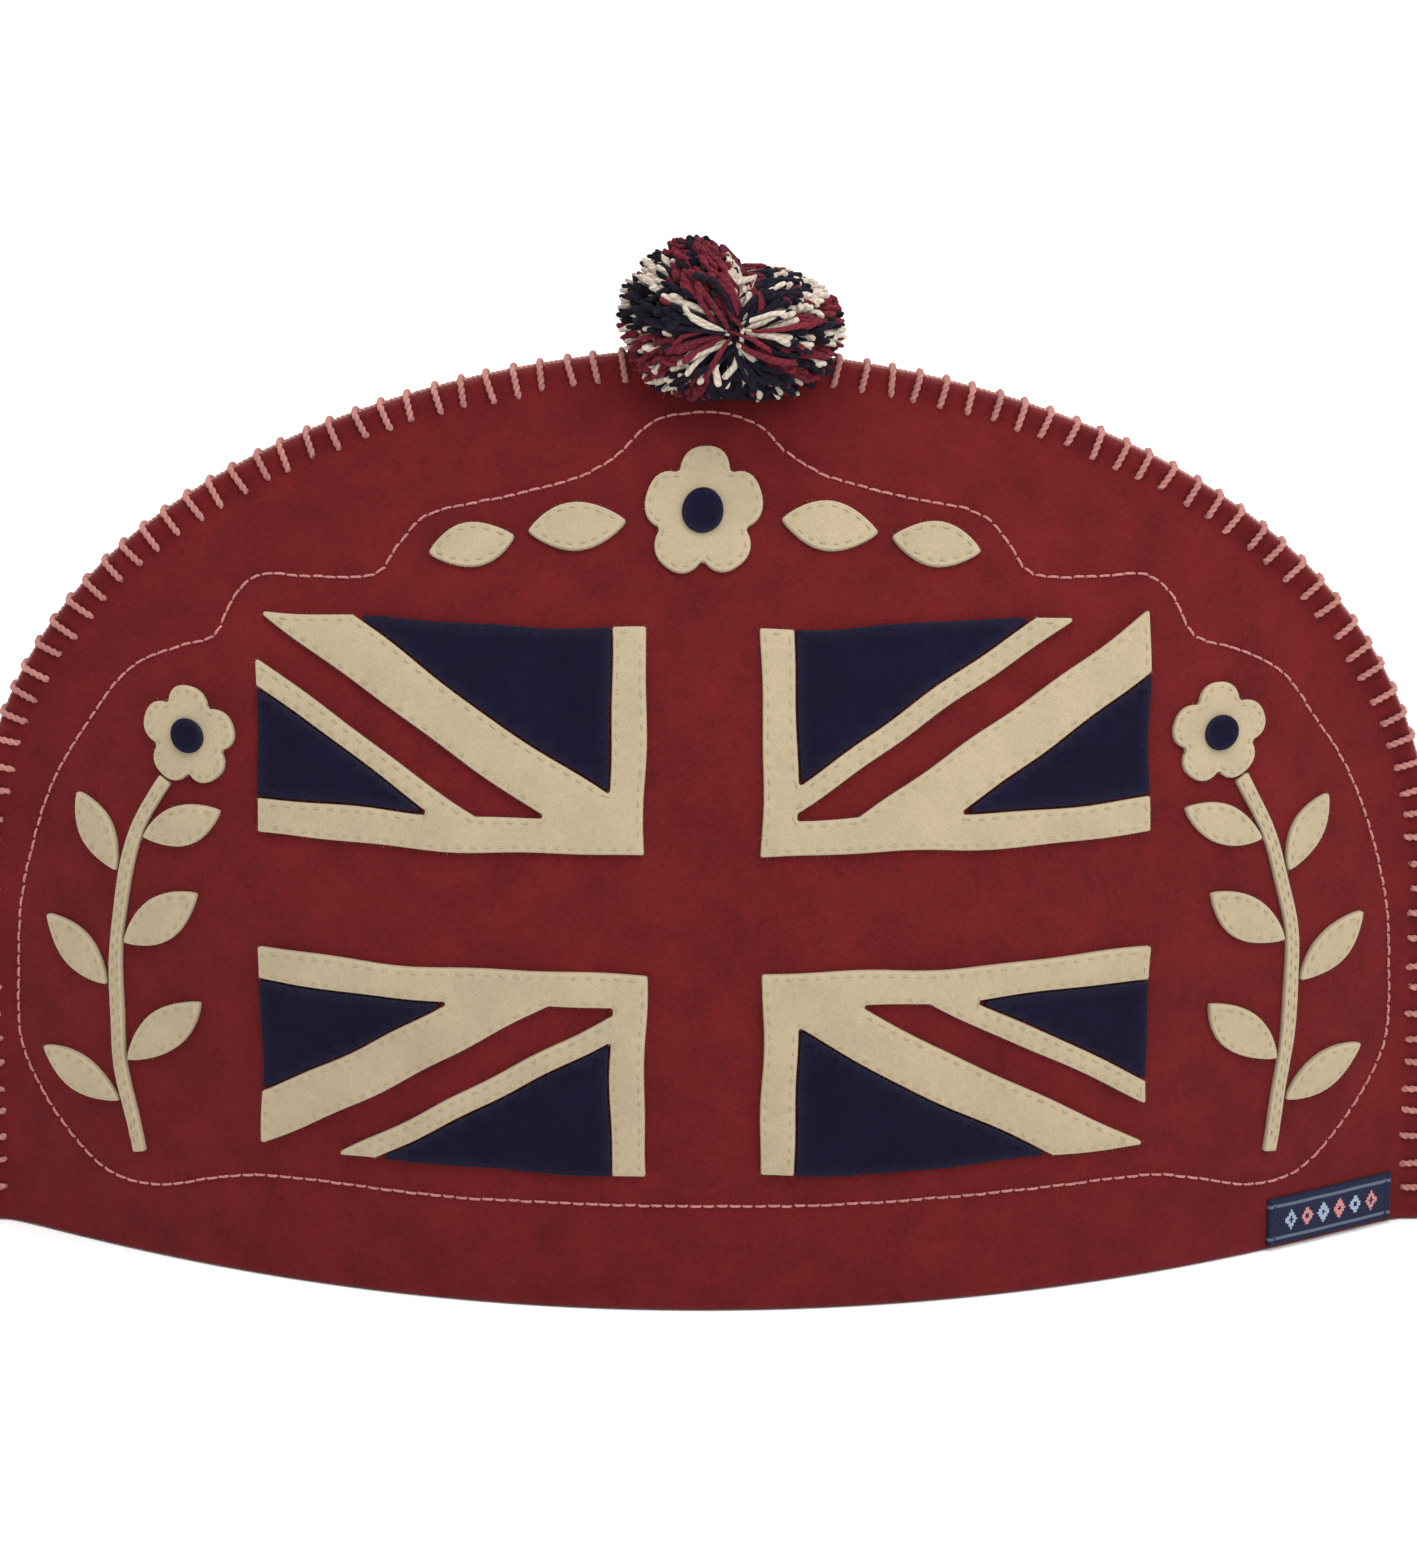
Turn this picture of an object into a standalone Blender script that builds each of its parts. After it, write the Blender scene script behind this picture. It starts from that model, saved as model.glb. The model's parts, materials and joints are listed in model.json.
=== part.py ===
"""Tea cosy of thick wool felt, standing filled out on its hem.

Two half-moon panels meet in a flat stitched seam that runs up one side, over the crown and
down the other side.  The front panel bows towards -Y and the back panel towards +Y, so the
open hem at z = 0 has the outline of a lens.  The origin is in the middle of that outline.
The front carries cut felt pieces laid on its face: a flag, two leaf sprigs and a flower.
A yarn pompom sits on the crown of the seam, and a woven tab lies on the hem at the right.

Flat pieces are drawn in the XZ plane and then laid on the curved wall, at given heights
above the wall's inner face.
"""
import math
import random

import bmesh
import bpy
import numpy as np
from mathutils import Vector

# Standing cosy (metres)
HALF_WIDTH = 0.193      # side edge of the seam
HEIGHT = 0.237          # crown of the seam
SIDE_WALL = 0.065       # straight upright part of each side edge
ROUND_X = 1.8           # powers of the arch's superellipse
ROUND_Z = 2.85
BOW = 0.063             # how far each panel stands out at the hem
SEAM = 0.005            # width of the flat seam
SEAM_EASE = 0.0035      # softness of the crease beside the seam
FELT = 0.003            # panel felt
GAP = 0.0003            # between the two panels in the seam

# Mesh of a panel: distances of its rings from the inner edge of the seam, and its stations
RING_INSETS = (0.0, 0.0025, 0.0055, 0.0095, 0.015, 0.027, 0.043, 0.062, 0.082, 0.103, 0.124, 0.145, 0.166)
WALL_STEPS = 4
ARCH_STEPS = 17

# Cut pieces on the front
PIECE_FELT = 0.0013     # appliqué felt
PIECE_GAP = 0.00045     # under a piece
CELL = 0.014            # largest facet of a piece on the curved wall
SNAP = 0.0001           # corners this near a facet line are taken as on it
BESIDE = 0.0005         # between two pieces laid side by side

# Flag
FLAG_WIDTH = 0.225
FLAG_HEIGHT = 0.135
FLAG_LOW = 0.037        # its lower edge above the hem
CROSS = 0.029           # bare red arms of the cross
BORDER = 0.0085         # cream edging of the cross
BROAD = 0.0125          # broad cream diagonal
NARROW = 0.0055         # narrow cream diagonal
DIAGONAL = 0.0095       # bare red diagonal between them

# Leaf sprigs: right-hand one, the left-hand one is its mirror image
STEM_POINTS = ((0.146, 0.028), (0.160, 0.090), (0.137, 0.130))
STEM_WIDTH = 0.0034
STEM_STEPS = 9
LEAF_COLUMNS = ("along", "side", "length", "width", "lean")
SPRIG_LEAVES = (
    (0.10, 1, 0.024, 0.0100, 52.0),
    (0.20, -1, 0.027, 0.0110, 52.0),
    (0.38, 1, 0.023, 0.0100, 48.0),
    (0.50, -1, 0.026, 0.0110, 48.0),
    (0.68, 1, 0.021, 0.0095, 44.0),
    (0.80, -1, 0.022, 0.0100, 46.0),
)
LEAF_STATIONS = 7
SPRIG_FLOWER = 0.0120   # radius

# Crown motif
CROWN_FLOWER = 0.0150   # radius
CROWN_FLOWER_HEIGHT = 0.1980
CROWN_COLUMNS = ("across", "height", "length", "width", "turn")
CROWN_LEAVES = (
    (0.0190, 0.1965, 0.025, 0.0110, -7.0),
    (0.0470, 0.1925, 0.023, 0.0100, -14.0),
)
PETALS = 5
PETAL_STEPS = 7
CLEFT = 0.28            # depth of the notch between petals, as a share of the radius
CENTRE_SHARE = 0.34     # flower centre, as a share of the flower
CENTRE_STEPS = 14

# Woven tab
TAB_LEFT = 0.1455
TAB_WIDTH = 0.0345
TAB_LOW = 0.0012
TAB_HEIGHT = 0.0130
TAB_THICK = 0.0010
TAB_CELL = 0.0045

# Pompom
POM_CENTRE = (0.0075, -0.0045, HEIGHT + 0.0086)
POM_RADII = (0.0290, 0.0255, 0.0200)
POM_CORE = 0.0078       # ball that the locks are rooted in
POM_ROOT = 0.78         # share of its own cell that a lock fills at the core
POM_TIP = 0.74          # and at the tip
POM_CLEFT_SHIFT = 0.18  # cleft between the two lobes, to the right of the middle
POM_CLEFT_DEPTH = 0.37
POM_CLEFT_WIDTH = 0.35
POM_LEAN = 0.20         # the left lobe stands higher than the right one
POM_RAGGED = 0.10       # uneven cut of the yarn
POM_LOCKS = 300
POM_CLEAR = 0.0007      # between a lock and the felt
POM_SEAT = 0.0003       # above the seam's edge
SHORTEST_LOCK = 0.0012

COLOURS = {
    "red_felt": (0.181, 0.0203, 0.0242),
    "cream_felt": (0.610, 0.503, 0.328),
    "navy_felt": (0.0130, 0.0116, 0.0343),
    "navy_ribbon": (0.0110, 0.0120, 0.0400),
    "mixed_yarn": (0.110, 0.0250, 0.0450),
}
FELT_ROUGHNESS = 0.95
FRONT, BACK = -1, 1


def clear_scene():
    """Remove whatever objects the scene holds."""
    for found in list(bpy.data.objects):
        bpy.data.objects.remove(found, do_unlink=True)


def cloth_material(name):
    """Matt material of one of the cosy's cloths or yarns."""
    found = bpy.data.materials.get(name)
    if found:
        return found
    made = bpy.data.materials.new(name)
    made.use_nodes = True
    shader = made.node_tree.nodes["Principled BSDF"]
    shader.inputs["Base Color"].default_value = (*COLOURS[name], 1.0)
    shader.inputs["Roughness"].default_value = FELT_ROUGHNESS
    shader.inputs["Metallic"].default_value = 0.0
    return made


def add_object(name, bm, cloth):
    """Turn a finished bmesh into one named object of the given cloth."""
    mesh = bpy.data.meshes.new(name)
    bm.to_mesh(mesh)
    bm.free()
    mesh.materials.append(cloth_material(cloth))
    made = bpy.data.objects.new(name, mesh)
    bpy.context.scene.collection.objects.link(made)
    mesh.shade_smooth()
    mesh.set_sharp_from_angle(angle=math.radians(35))
    return made


# ---------------------------------------------------------------- the standing wall

def arch_stations():
    """Unit (across, up) points of a quarter arch, evenly spaced along the seam's edge."""
    turn = np.linspace(0.0, math.pi / 2, 2001)
    across = np.cos(turn) ** (2 / ROUND_X)
    up = np.sin(turn) ** (2 / ROUND_Z)
    step = np.hypot(np.diff(across) * HALF_WIDTH, np.diff(up) * (HEIGHT - SIDE_WALL))
    along = np.concatenate(([0.0], np.cumsum(step)))
    wanted = np.linspace(0.0, along[-1], ARCH_STEPS + 1)
    return list(zip(np.interp(wanted, along, across), np.interp(wanted, along, up)))


def contour(half_width, crown):
    """Points (x, z) of one ring, from the right end of the hem over the crown to the left end."""
    wall = [(half_width, SIDE_WALL * step / WALL_STEPS) for step in range(WALL_STEPS)]
    arch = [(half_width * a, SIDE_WALL + (crown - SIDE_WALL) * u) for a, u in arch_stations()]
    right = wall + arch
    left = [(-x, z) for x, z in reversed(right[:-1])]
    return right + left


def ring_at(x, z):
    """Share of the way from the spine (0) to the inner edge of the seam (1) at a flat point."""
    across = abs(x) / (HALF_WIDTH - SEAM)
    if z <= SIDE_WALL:
        return across
    up = (z - SIDE_WALL) / (HEIGHT - SEAM - SIDE_WALL)
    low, high = 0.0, across + up
    for _ in range(40):
        middle = (low + high) / 2
        if (across / middle) ** ROUND_X + (up / middle) ** ROUND_Z > 1:
            low = middle
        else:
            high = middle
    return high


def bow_at(x, z):
    """How far a panel's inner face stands out from the seam's plane."""
    full = (BOW + SEAM_EASE) * max(0.0, 1 - ring_at(x, z) ** 2)
    return math.hypot(full, SEAM_EASE) - SEAM_EASE


def wall_point(x, z, side, height):
    """Point at a height above the inner face of the front or back panel."""
    step = 0.0001
    slope_x = (bow_at(x + step, z) - bow_at(x - step, z)) / (2 * step)
    slope_z = (bow_at(x, z + step) - bow_at(x, z - step)) / (2 * step)
    outward = Vector((-slope_x, side, -slope_z)).normalized()
    return Vector((x, side * (GAP / 2 + bow_at(x, z)), z)) + outward * height


def lay_on_wall(bm, side, low, high):
    """Give a flat XZ piece its thickness and lay it on the wall between two heights."""
    flat = bm.verts[:]
    made = bmesh.ops.extrude_face_region(bm, geom=bm.faces[:])["geom"]
    for vert in flat:
        vert.co = wall_point(vert.co.x, vert.co.z, side, low)
    for vert in made:
        if isinstance(vert, bmesh.types.BMVert):
            vert.co = wall_point(vert.co.x, vert.co.z, side, high)
    bmesh.ops.recalc_face_normals(bm, faces=bm.faces[:])


# ---------------------------------------------------------------- the two panels

def half_moon():
    """Flat half-moon: rings of the seam's own shape, drawn in to a spine above the hem."""
    bm = bmesh.new()
    station = bm.verts.layers.int.new("station")
    verts = []
    for index, (x, z) in enumerate(contour(HALF_WIDTH, HEIGHT)):
        vert = bm.verts.new((x, 0.0, z))
        vert[station] = index
        verts.append(vert)
    edges = [bm.edges.new(pair) for pair in zip(verts, verts[1:])]
    reach = HALF_WIDTH - SEAM
    shares = [1 - inset / reach for inset in RING_INSETS] + [0.0]
    for share in shares:
        ring = contour(reach * share, SIDE_WALL + (HEIGHT - SEAM - SIDE_WALL) * share)
        made = bmesh.ops.extrude_edge_only(bm, edges=edges)["geom"]
        edges = [item for item in made if isinstance(item, bmesh.types.BMEdge)]
        for vert in made:
            if isinstance(vert, bmesh.types.BMVert):
                x, z = ring[vert[station]]
                vert.co = (x, 0.0, z)
    bmesh.ops.remove_doubles(bm, verts=bm.verts[:], dist=0.00001)
    return bm


def panel(name, side):
    """One felt panel with its flat seam edge and its hem."""
    bm = half_moon()
    lay_on_wall(bm, side, 0.0, FELT)
    return add_object(name, bm, "red_felt")


# ---------------------------------------------------------------- cut pieces

def cut_piece(name, outline, cloth, layer=0, thick=PIECE_FELT, cell=CELL):
    """A flat cut piece laid on the front, faceted finely enough to follow its curve."""
    bm = bmesh.new()
    bm.faces.new([bm.verts.new((x, 0.0, z)) for x, z in outline])
    for axis in (Vector((1, 0, 0)), Vector((0, 0, 1))):
        reach = [vert.co.dot(axis) for vert in bm.verts]
        low, size = min(reach), max(reach) - min(reach)
        strips = math.ceil(size / cell)
        for line in range(1, strips):
            place = axis * (low + size * line / strips)
            everything = bm.verts[:] + bm.edges[:] + bm.faces[:]
            bmesh.ops.bisect_plane(bm, geom=everything, dist=SNAP, plane_co=place, plane_no=axis)
    bmesh.ops.triangulate(bm, faces=bm.faces[:])
    low = FELT + PIECE_GAP + layer * (PIECE_FELT + PIECE_GAP)
    lay_on_wall(bm, FRONT, low, low + thick)
    return add_object(name, bm, cloth)


def diagonal_at(offset, across=None, up=None):
    """Point of the line that runs beside the flag's diagonal, at a given across or up."""
    half_w, half_h = FLAG_WIDTH / 2, FLAG_HEIGHT / 2
    length = math.hypot(half_w, half_h)
    if up is None:
        return across, (offset * length + half_h * across) / half_w
    return (half_w * up - offset * length) / half_h, up


def flag_quarter(broad_above):
    """Cream outline and two navy outlines of one quarter, measured from the flag's centre.

    The offsets run across the diagonal and are positive towards the top edge.  The bare
    red diagonal has one edge on the diagonal itself, with the broad cream beyond that edge.
    """
    half_w, half_h = FLAG_WIDTH / 2, FLAG_HEIGHT / 2
    inner, outer = CROSS / 2, CROSS / 2 + BORDER
    if broad_above:
        top, red_high, red_low, bottom = BROAD, 0.0, -DIAGONAL, -DIAGONAL - NARROW
    else:
        top, red_high, red_low, bottom = DIAGONAL + NARROW, DIAGONAL, 0.0, -BROAD
    cream = [(inner, inner), (half_w, inner), (half_w, outer), diagonal_at(bottom, up=outer)]
    cream += [diagonal_at(bottom, across=half_w)]
    if broad_above:
        cream += [diagonal_at(red_low, across=half_w), diagonal_at(red_low, up=outer)]
        cream += [diagonal_at(red_high, up=outer), (half_w, half_h)]
    else:
        cream += [(half_w, half_h), diagonal_at(red_low, up=outer), (outer, outer)]
        cream += [diagonal_at(red_high, across=outer), diagonal_at(red_high, up=half_h)]
    cream += [diagonal_at(top, up=half_h), diagonal_at(top, across=outer)]
    cream += [(outer, half_h), (inner, half_h)]
    clear = outer + BESIDE
    above = [diagonal_at(top + BESIDE, across=clear), diagonal_at(top + BESIDE, up=half_h), (clear, half_h)]
    beside = [diagonal_at(bottom - BESIDE, up=clear), (half_w, clear)]
    beside += [diagonal_at(bottom - BESIDE, across=half_w)]
    return cream, [above, beside]


def flag():
    """Four cream pieces and eight navy ones; the panel's own red makes the cross."""
    middle = FLAG_LOW + FLAG_HEIGHT / 2
    quarters = ((-1, 1, True), (1, 1, False), (-1, -1, False), (1, -1, True))
    for number, (across, up, broad_above) in enumerate(quarters):
        cream, navy = flag_quarter(broad_above)
        placed = [(across * x, middle + up * z) for x, z in cream]
        cut_piece(f"flag_cream_{number + 1}", placed, "cream_felt")
        for extra, outline in enumerate(navy):
            placed = [(across * x, middle + up * z) for x, z in outline]
            cut_piece(f"flag_navy_{2 * number + extra + 1}", placed, "navy_felt")


def leaf_outline(base, turn, length, width):
    """Pointed leaf from its base, turned anticlockwise from +X, in radians."""
    side = []
    for step in range(LEAF_STATIONS):
        share = step / (LEAF_STATIONS - 1)
        side.append((share * length, width / 2 * math.sin(math.pi * share) ** 0.85))
    flat = side + [(x, -z) for x, z in reversed(side[1:-1])]
    cos, sin = math.cos(turn), math.sin(turn)
    return [(base[0] + x * cos - z * sin, base[1] + x * sin + z * cos) for x, z in flat]


def flower_outline(centre, radius):
    """Round flower with notched petals."""
    count = PETALS * PETAL_STEPS
    points = []
    for step in range(count):
        turn = 2 * math.pi * step / count
        notch = 1 - abs(math.cos(PETALS * turn / 2))
        reach = radius * (1 - CLEFT * notch ** 1.5)
        points.append((centre[0] + reach * math.sin(turn), centre[1] + reach * math.cos(turn)))
    return points


def disc_outline(centre, radius):
    """Round felt dot."""
    turns = [2 * math.pi * step / CENTRE_STEPS for step in range(CENTRE_STEPS)]
    return [(centre[0] + radius * math.cos(t), centre[1] + radius * math.sin(t)) for t in turns]


def stem_at(share):
    """Point and direction of the right-hand stem's middle line."""
    start, bend, end = (Vector(point) for point in STEM_POINTS)
    point = start * (1 - share) ** 2 + bend * 2 * share * (1 - share) + end * share ** 2
    run = (bend - start) * (1 - share) + (end - bend) * share
    return point, run.normalized()


def stem_outline():
    """Narrow strip with even width along the stem's middle line."""
    left, right = [], []
    for step in range(STEM_STEPS):
        point, run = stem_at(step / (STEM_STEPS - 1))
        across = Vector((-run.y, run.x)) * STEM_WIDTH / 2
        left.append(point + across)
        right.append(point - across)
    return [tuple(point) for point in right + left[::-1]]


def sprig_leaf(along, side, length, width, lean):
    """Outline of one leaf beside the right-hand stem."""
    point, run = stem_at(along)
    turn = math.atan2(run.y, run.x) - side * math.radians(lean)
    reach = Vector((math.cos(turn), math.sin(turn)))
    stand = (STEM_WIDTH / 2 + BESIDE) / math.sin(math.radians(lean))
    return leaf_outline(point + reach * stand, turn, length, width)


def sprigs():
    """A leaf sprig with a flower on each side of the flag."""
    end, run = stem_at(1.0)
    flower = end + run * (SPRIG_FLOWER + BESIDE)
    leaves = [sprig_leaf(**dict(zip(LEAF_COLUMNS, row))) for row in SPRIG_LEAVES]
    for number, side in enumerate((1, -1)):
        def placed(outline):
            return [(side * x, z) for x, z in outline]
        cut_piece(f"stem_{number + 1}", placed(stem_outline()), "cream_felt")
        for extra, outline in enumerate(leaves):
            cut_piece(f"leaf_{number * len(leaves) + extra + 1}", placed(outline), "cream_felt")
        flower_piece(number + 1, (side * flower.x, flower.y), SPRIG_FLOWER)


def flower_piece(number, centre, radius):
    """Cream flower with a navy centre on it."""
    cut_piece(f"flower_{number}", flower_outline(centre, radius), "cream_felt")
    dot = disc_outline(centre, radius * CENTRE_SHARE)
    cut_piece(f"flower_centre_{number}", dot, "navy_felt", layer=1)


def crown_motif():
    """A flower between leaves, above the flag."""
    flower_piece(3, (0.0, CROWN_FLOWER_HEIGHT), CROWN_FLOWER)
    number = 0
    for row in CROWN_LEAVES:
        leaf = dict(zip(CROWN_COLUMNS, row))
        base = (leaf["across"], leaf["height"])
        outline = leaf_outline(base, math.radians(leaf["turn"]), leaf["length"], leaf["width"])
        for side in (1, -1):
            number += 1
            cut_piece(f"crown_leaf_{number}", [(side * x, z) for x, z in outline], "cream_felt")


def woven_tab():
    """Plain woven tab sewn flat on the front, just above the hem at the right."""
    right, high = TAB_LEFT + TAB_WIDTH, TAB_LOW + TAB_HEIGHT
    outline = [(TAB_LEFT, TAB_LOW), (right, TAB_LOW), (right, high), (TAB_LEFT, high)]
    cut_piece("tab", outline, "navy_ribbon", thick=TAB_THICK, cell=TAB_CELL)


# ---------------------------------------------------------------- pompom

def pompom_reach(direction):
    """How far the yarn reaches from the pompom's centre in a direction."""
    scaled = [direction[axis] / POM_RADII[axis] for axis in range(3)]
    reach = 1 / math.sqrt(sum(value * value for value in scaled))
    upward = max(0.0, direction.z)
    beside = (direction.x - POM_CLEFT_SHIFT) / POM_CLEFT_WIDTH
    cleft = POM_CLEFT_DEPTH * upward * math.exp(-beside * beside)
    lean = POM_LEAN * upward * -math.copysign(min(1.0, abs(beside) / 2), beside)
    return reach * (1 - cleft + lean)


def is_clear(point):
    """Whether a point of the pompom stays off the seam and both panels."""
    if point.z > HEIGHT + POM_SEAT:
        return True
    wall = GAP / 2 + FELT + bow_at(point.x, point.z) * 1.15
    return abs(point.y) > wall + POM_CLEAR


def lock_share(roots, tips):
    """Largest share of a lock's length that stays clear of the felt, or 0 if none does."""
    share = 1.0
    shortest = SHORTEST_LOCK / (tips[0] - roots[0]).length
    while share > shortest:
        ends = [root.lerp(tip, share) for root, tip in zip(roots, tips)]
        sides = [root.lerp(end, step / 12) for root, end in zip(roots, ends) for step in range(1, 13)]
        faces = [a.lerp(b, 0.5) for a, b in zip(ends, ends[1:] + ends[:1])]
        if all(is_clear(point) for point in sides + faces):
            return share
        share *= 0.97
    return 0.0


def pompom():
    """Cut yarn locks standing apart round a small core, parted where the seam runs below."""
    rng = random.Random(7)
    centre = Vector(POM_CENTRE)
    bm = bmesh.new()
    bmesh.ops.create_icosphere(bm, subdivisions=3, radius=POM_CORE)
    cells = {}
    for face in bm.faces:
        middle = face.calc_center_median().normalized()
        cells[face] = (middle, [vert.co.normalized() for vert in face.verts])
    bmesh.ops.inset_individual(bm, faces=list(cells), thickness=POM_CORE * 0.02, depth=0.0)
    for face, (middle, corners) in cells.items():
        for vert, corner in zip(face.verts, corners):
            vert.co = middle.lerp(corner, POM_ROOT).normalized() * POM_CORE
    upright = sorted(cells, key=lambda face: -cells[face][0].z)
    for face in upright[:POM_LOCKS]:
        middle, corners = cells[face]
        uneven = 1 + POM_RAGGED * (2 * rng.random() - 1)
        roots = [vert.co + centre for vert in face.verts]
        tips = []
        for corner in corners:
            direction = middle.lerp(corner, POM_TIP).normalized()
            tips.append(centre + direction * pompom_reach(direction) * uneven)
        share = lock_share(roots, tips)
        if share == 0.0:
            continue
        made = bmesh.ops.extrude_discrete_faces(bm, faces=[face])["faces"][0]
        for vert, root, tip in zip(made.verts, roots, tips):
            vert.co = root.lerp(tip, share) - centre
    bmesh.ops.translate(bm, verts=bm.verts[:], vec=centre)
    bmesh.ops.recalc_face_normals(bm, faces=bm.faces[:])
    return add_object("pompom", bm, "mixed_yarn")


def main():
    """Build the whole cosy."""
    clear_scene()
    panel("front_panel", FRONT)
    panel("back_panel", BACK)
    flag()
    sprigs()
    crown_motif()
    woven_tab()
    pompom()


main()
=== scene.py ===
"""Dresses the felt tea cosy: thick wool felt, cut pieces, hand stitching, a woven tab and a pompom.

Two half-moon felts meet in a flat seam that is oversewn with yarn.  Flat outlines are drawn in the
XZ plane and laid on the curved front, at heights above the front felt's inner face.  Every size is
in metres.
"""

import json
import math

import bmesh
import bpy
import numpy as np
from bpy.props import FloatProperty, FloatVectorProperty, IntProperty, PointerProperty
from bpy.types import Operator, Panel, PropertyGroup
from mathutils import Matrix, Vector
from mathutils.kdtree import KDTree

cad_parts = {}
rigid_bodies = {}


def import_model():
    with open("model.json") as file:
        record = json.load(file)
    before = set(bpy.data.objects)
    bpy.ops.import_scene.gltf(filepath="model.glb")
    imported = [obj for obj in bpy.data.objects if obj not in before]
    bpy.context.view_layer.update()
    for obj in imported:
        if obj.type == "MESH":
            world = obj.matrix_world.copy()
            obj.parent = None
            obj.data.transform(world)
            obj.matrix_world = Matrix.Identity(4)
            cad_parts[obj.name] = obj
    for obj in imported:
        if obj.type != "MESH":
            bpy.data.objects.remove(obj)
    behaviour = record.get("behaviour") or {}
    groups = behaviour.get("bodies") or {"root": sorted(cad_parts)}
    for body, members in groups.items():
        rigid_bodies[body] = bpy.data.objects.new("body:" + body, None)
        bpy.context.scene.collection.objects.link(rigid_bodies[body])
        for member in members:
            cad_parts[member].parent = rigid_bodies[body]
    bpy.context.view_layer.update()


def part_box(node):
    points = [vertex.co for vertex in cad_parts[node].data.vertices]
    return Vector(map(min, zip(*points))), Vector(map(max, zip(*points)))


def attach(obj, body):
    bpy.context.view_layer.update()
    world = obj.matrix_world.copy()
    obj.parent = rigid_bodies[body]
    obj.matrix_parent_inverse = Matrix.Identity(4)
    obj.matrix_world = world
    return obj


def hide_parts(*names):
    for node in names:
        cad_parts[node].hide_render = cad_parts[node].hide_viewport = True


bl_info = {
    "name": "Felt Tea Cosy",
    "version": (1, 0, 0),
    "blender": (4, 5, 0),
    "location": "3D View > Sidebar > Tea Cosy",
    "description": "Half-moon felt tea cosy with cut pieces, hand stitching and a pompom",
    "category": "Add Mesh",
}

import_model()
PANEL_LOW, PANEL_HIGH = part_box("front_panel")
TAB_LOW, TAB_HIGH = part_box("tab")
FELT = 0.003  # thickness of the half-moons
GAP = 0.0003  # between them in the seam
FRONT, BACK = -1, 1

# Insets of a half-moon's outer rings from its edge, and its first stations above the hem
PANEL_RINGS = (0.0, 0.0002, 0.0005, 0.001, 0.002, 0.0035, 0.005, 0.0065, 0.0085, 0.0108)
HEM_STATIONS = (0.0002, 0.0005, 0.001)
# A cut piece: steps of its rounded rim, arc of its corners, and how far it is sewn into the felt
RIM_STEPS = (0.00012, 0.00016, 0.00022)
CORNER = 0.0006
SEWN_IN = 0.0001
# The stitched line round the design: right-hand half, from its lowest point to its highest
ECHO_LINE = (
    (0.0000, 0.0285), (0.0600, 0.0283), (0.1080, 0.0280), (0.1250, 0.0252), (0.1420, 0.0198),
    (0.1570, 0.0213), (0.1710, 0.0355), (0.1792, 0.0520), (0.1795, 0.0700), (0.1780, 0.0900),
    (0.1735, 0.1085), (0.1670, 0.1260), (0.1570, 0.1420), (0.1475, 0.1545), (0.1350, 0.1612),
    (0.1245, 0.1650), (0.1200, 0.1735), (0.1130, 0.1800), (0.0980, 0.1808), (0.0830, 0.1822),
    (0.0770, 0.1895), (0.0690, 0.1968), (0.0500, 0.2012), (0.0320, 0.2058), (0.0215, 0.2112),
    (0.0130, 0.2186), (0.0000, 0.2210),
)
# The right-hand sprig: ends and bend of its stem, then each leaf's place along the stem, side,
# length, width and degrees from the stem
STEM_POINTS = ((0.146, 0.028), (0.160, 0.090), (0.137, 0.130))
SPRIG_LEAVES = (
    (0.10, 1, 0.024, 0.0100, 52.0), (0.20, -1, 0.027, 0.0110, 52.0),
    (0.38, 1, 0.023, 0.0100, 48.0), (0.50, -1, 0.026, 0.0110, 48.0),
    (0.68, 1, 0.021, 0.0095, 44.0), (0.80, -1, 0.022, 0.0100, 46.0),
)
# Above the flag: the flower's height, and each right-hand leaf's base, length, width and degrees
CROWN_HEIGHT = 0.1980
CROWN_LEAVES = (((0.0190, 0.1965), 0.025, 0.0110, -7.0), ((0.0470, 0.1925), 0.023, 0.0100, -14.0))
# Bunches of one yarn round the pompom's tie: degrees from +X towards +Z, and reach in degrees
BUNCHES = {
    "burgundy": ((9, 5), (62, 3), (98, 3), (108, 7), (129, 8), (190, 7), (204, 6), (240, 6),
                 (328, 6), (346, 3)),
    "navy": ((0, 5), (30, 5), (41, 7), (53, 5), (118, 3), (141, 3), (160, 7), (172, 6), (222, 5),
             (250, 5), (266, 6), (277, 4), (295, 5), (316, 6), (338, 5)),
    "cream": ((19, 5), (70, 4), (80, 6), (90, 5), (149, 4), (181, 2), (213, 2), (231, 2),
              (257, 2), (285, 2), (306, 3), (352, 3)),
}
BURGUNDY, NAVY, CREAM = range(3)  # the yarns' numbers, in the order above
# How mottled, how fuzzy and how uneven in colour each felt is
FELT_LOOKS = {"red": (0.5, 0.05, 0.27), "cream": (0.55, 0.05, 0.11), "navy": (0.5, 0.02, 0.35)}
# Soft lights: place, height that each looks at, size, and which power it has
LIGHTS = {
    "key": ((0.95, -1.5, 2.05), 0.12, 1.3, "key"),
    "fill_right": ((1.8, -1.0, 1.0), 0.1, 1.4, "fill"),
    "fill_back": ((0.3, 1.9, 1.6), 0.1, 1.4, "fill"),
    "top": ((0.0, -0.5, 2.2), 0.15, 1.2, "top"),
}


# ---------------------------------------------------------------- sizes and colours

def length(name, description, default):
    """A size in metres."""
    return FloatProperty(name=name, description=description, default=default, min=0.0, max=10.0,
                         precision=5, unit="LENGTH", subtype="DISTANCE")


def factor(name, description, default, low=0.0, high=1.0):
    """A plain number."""
    return FloatProperty(name=name, description=description, default=default, min=low, max=high)


def colour(name, description, default):
    """A linear colour."""
    return FloatVectorProperty(name=name, description=description, default=default, size=3,
                               min=0.0, max=1.0, subtype="COLOR")


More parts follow.
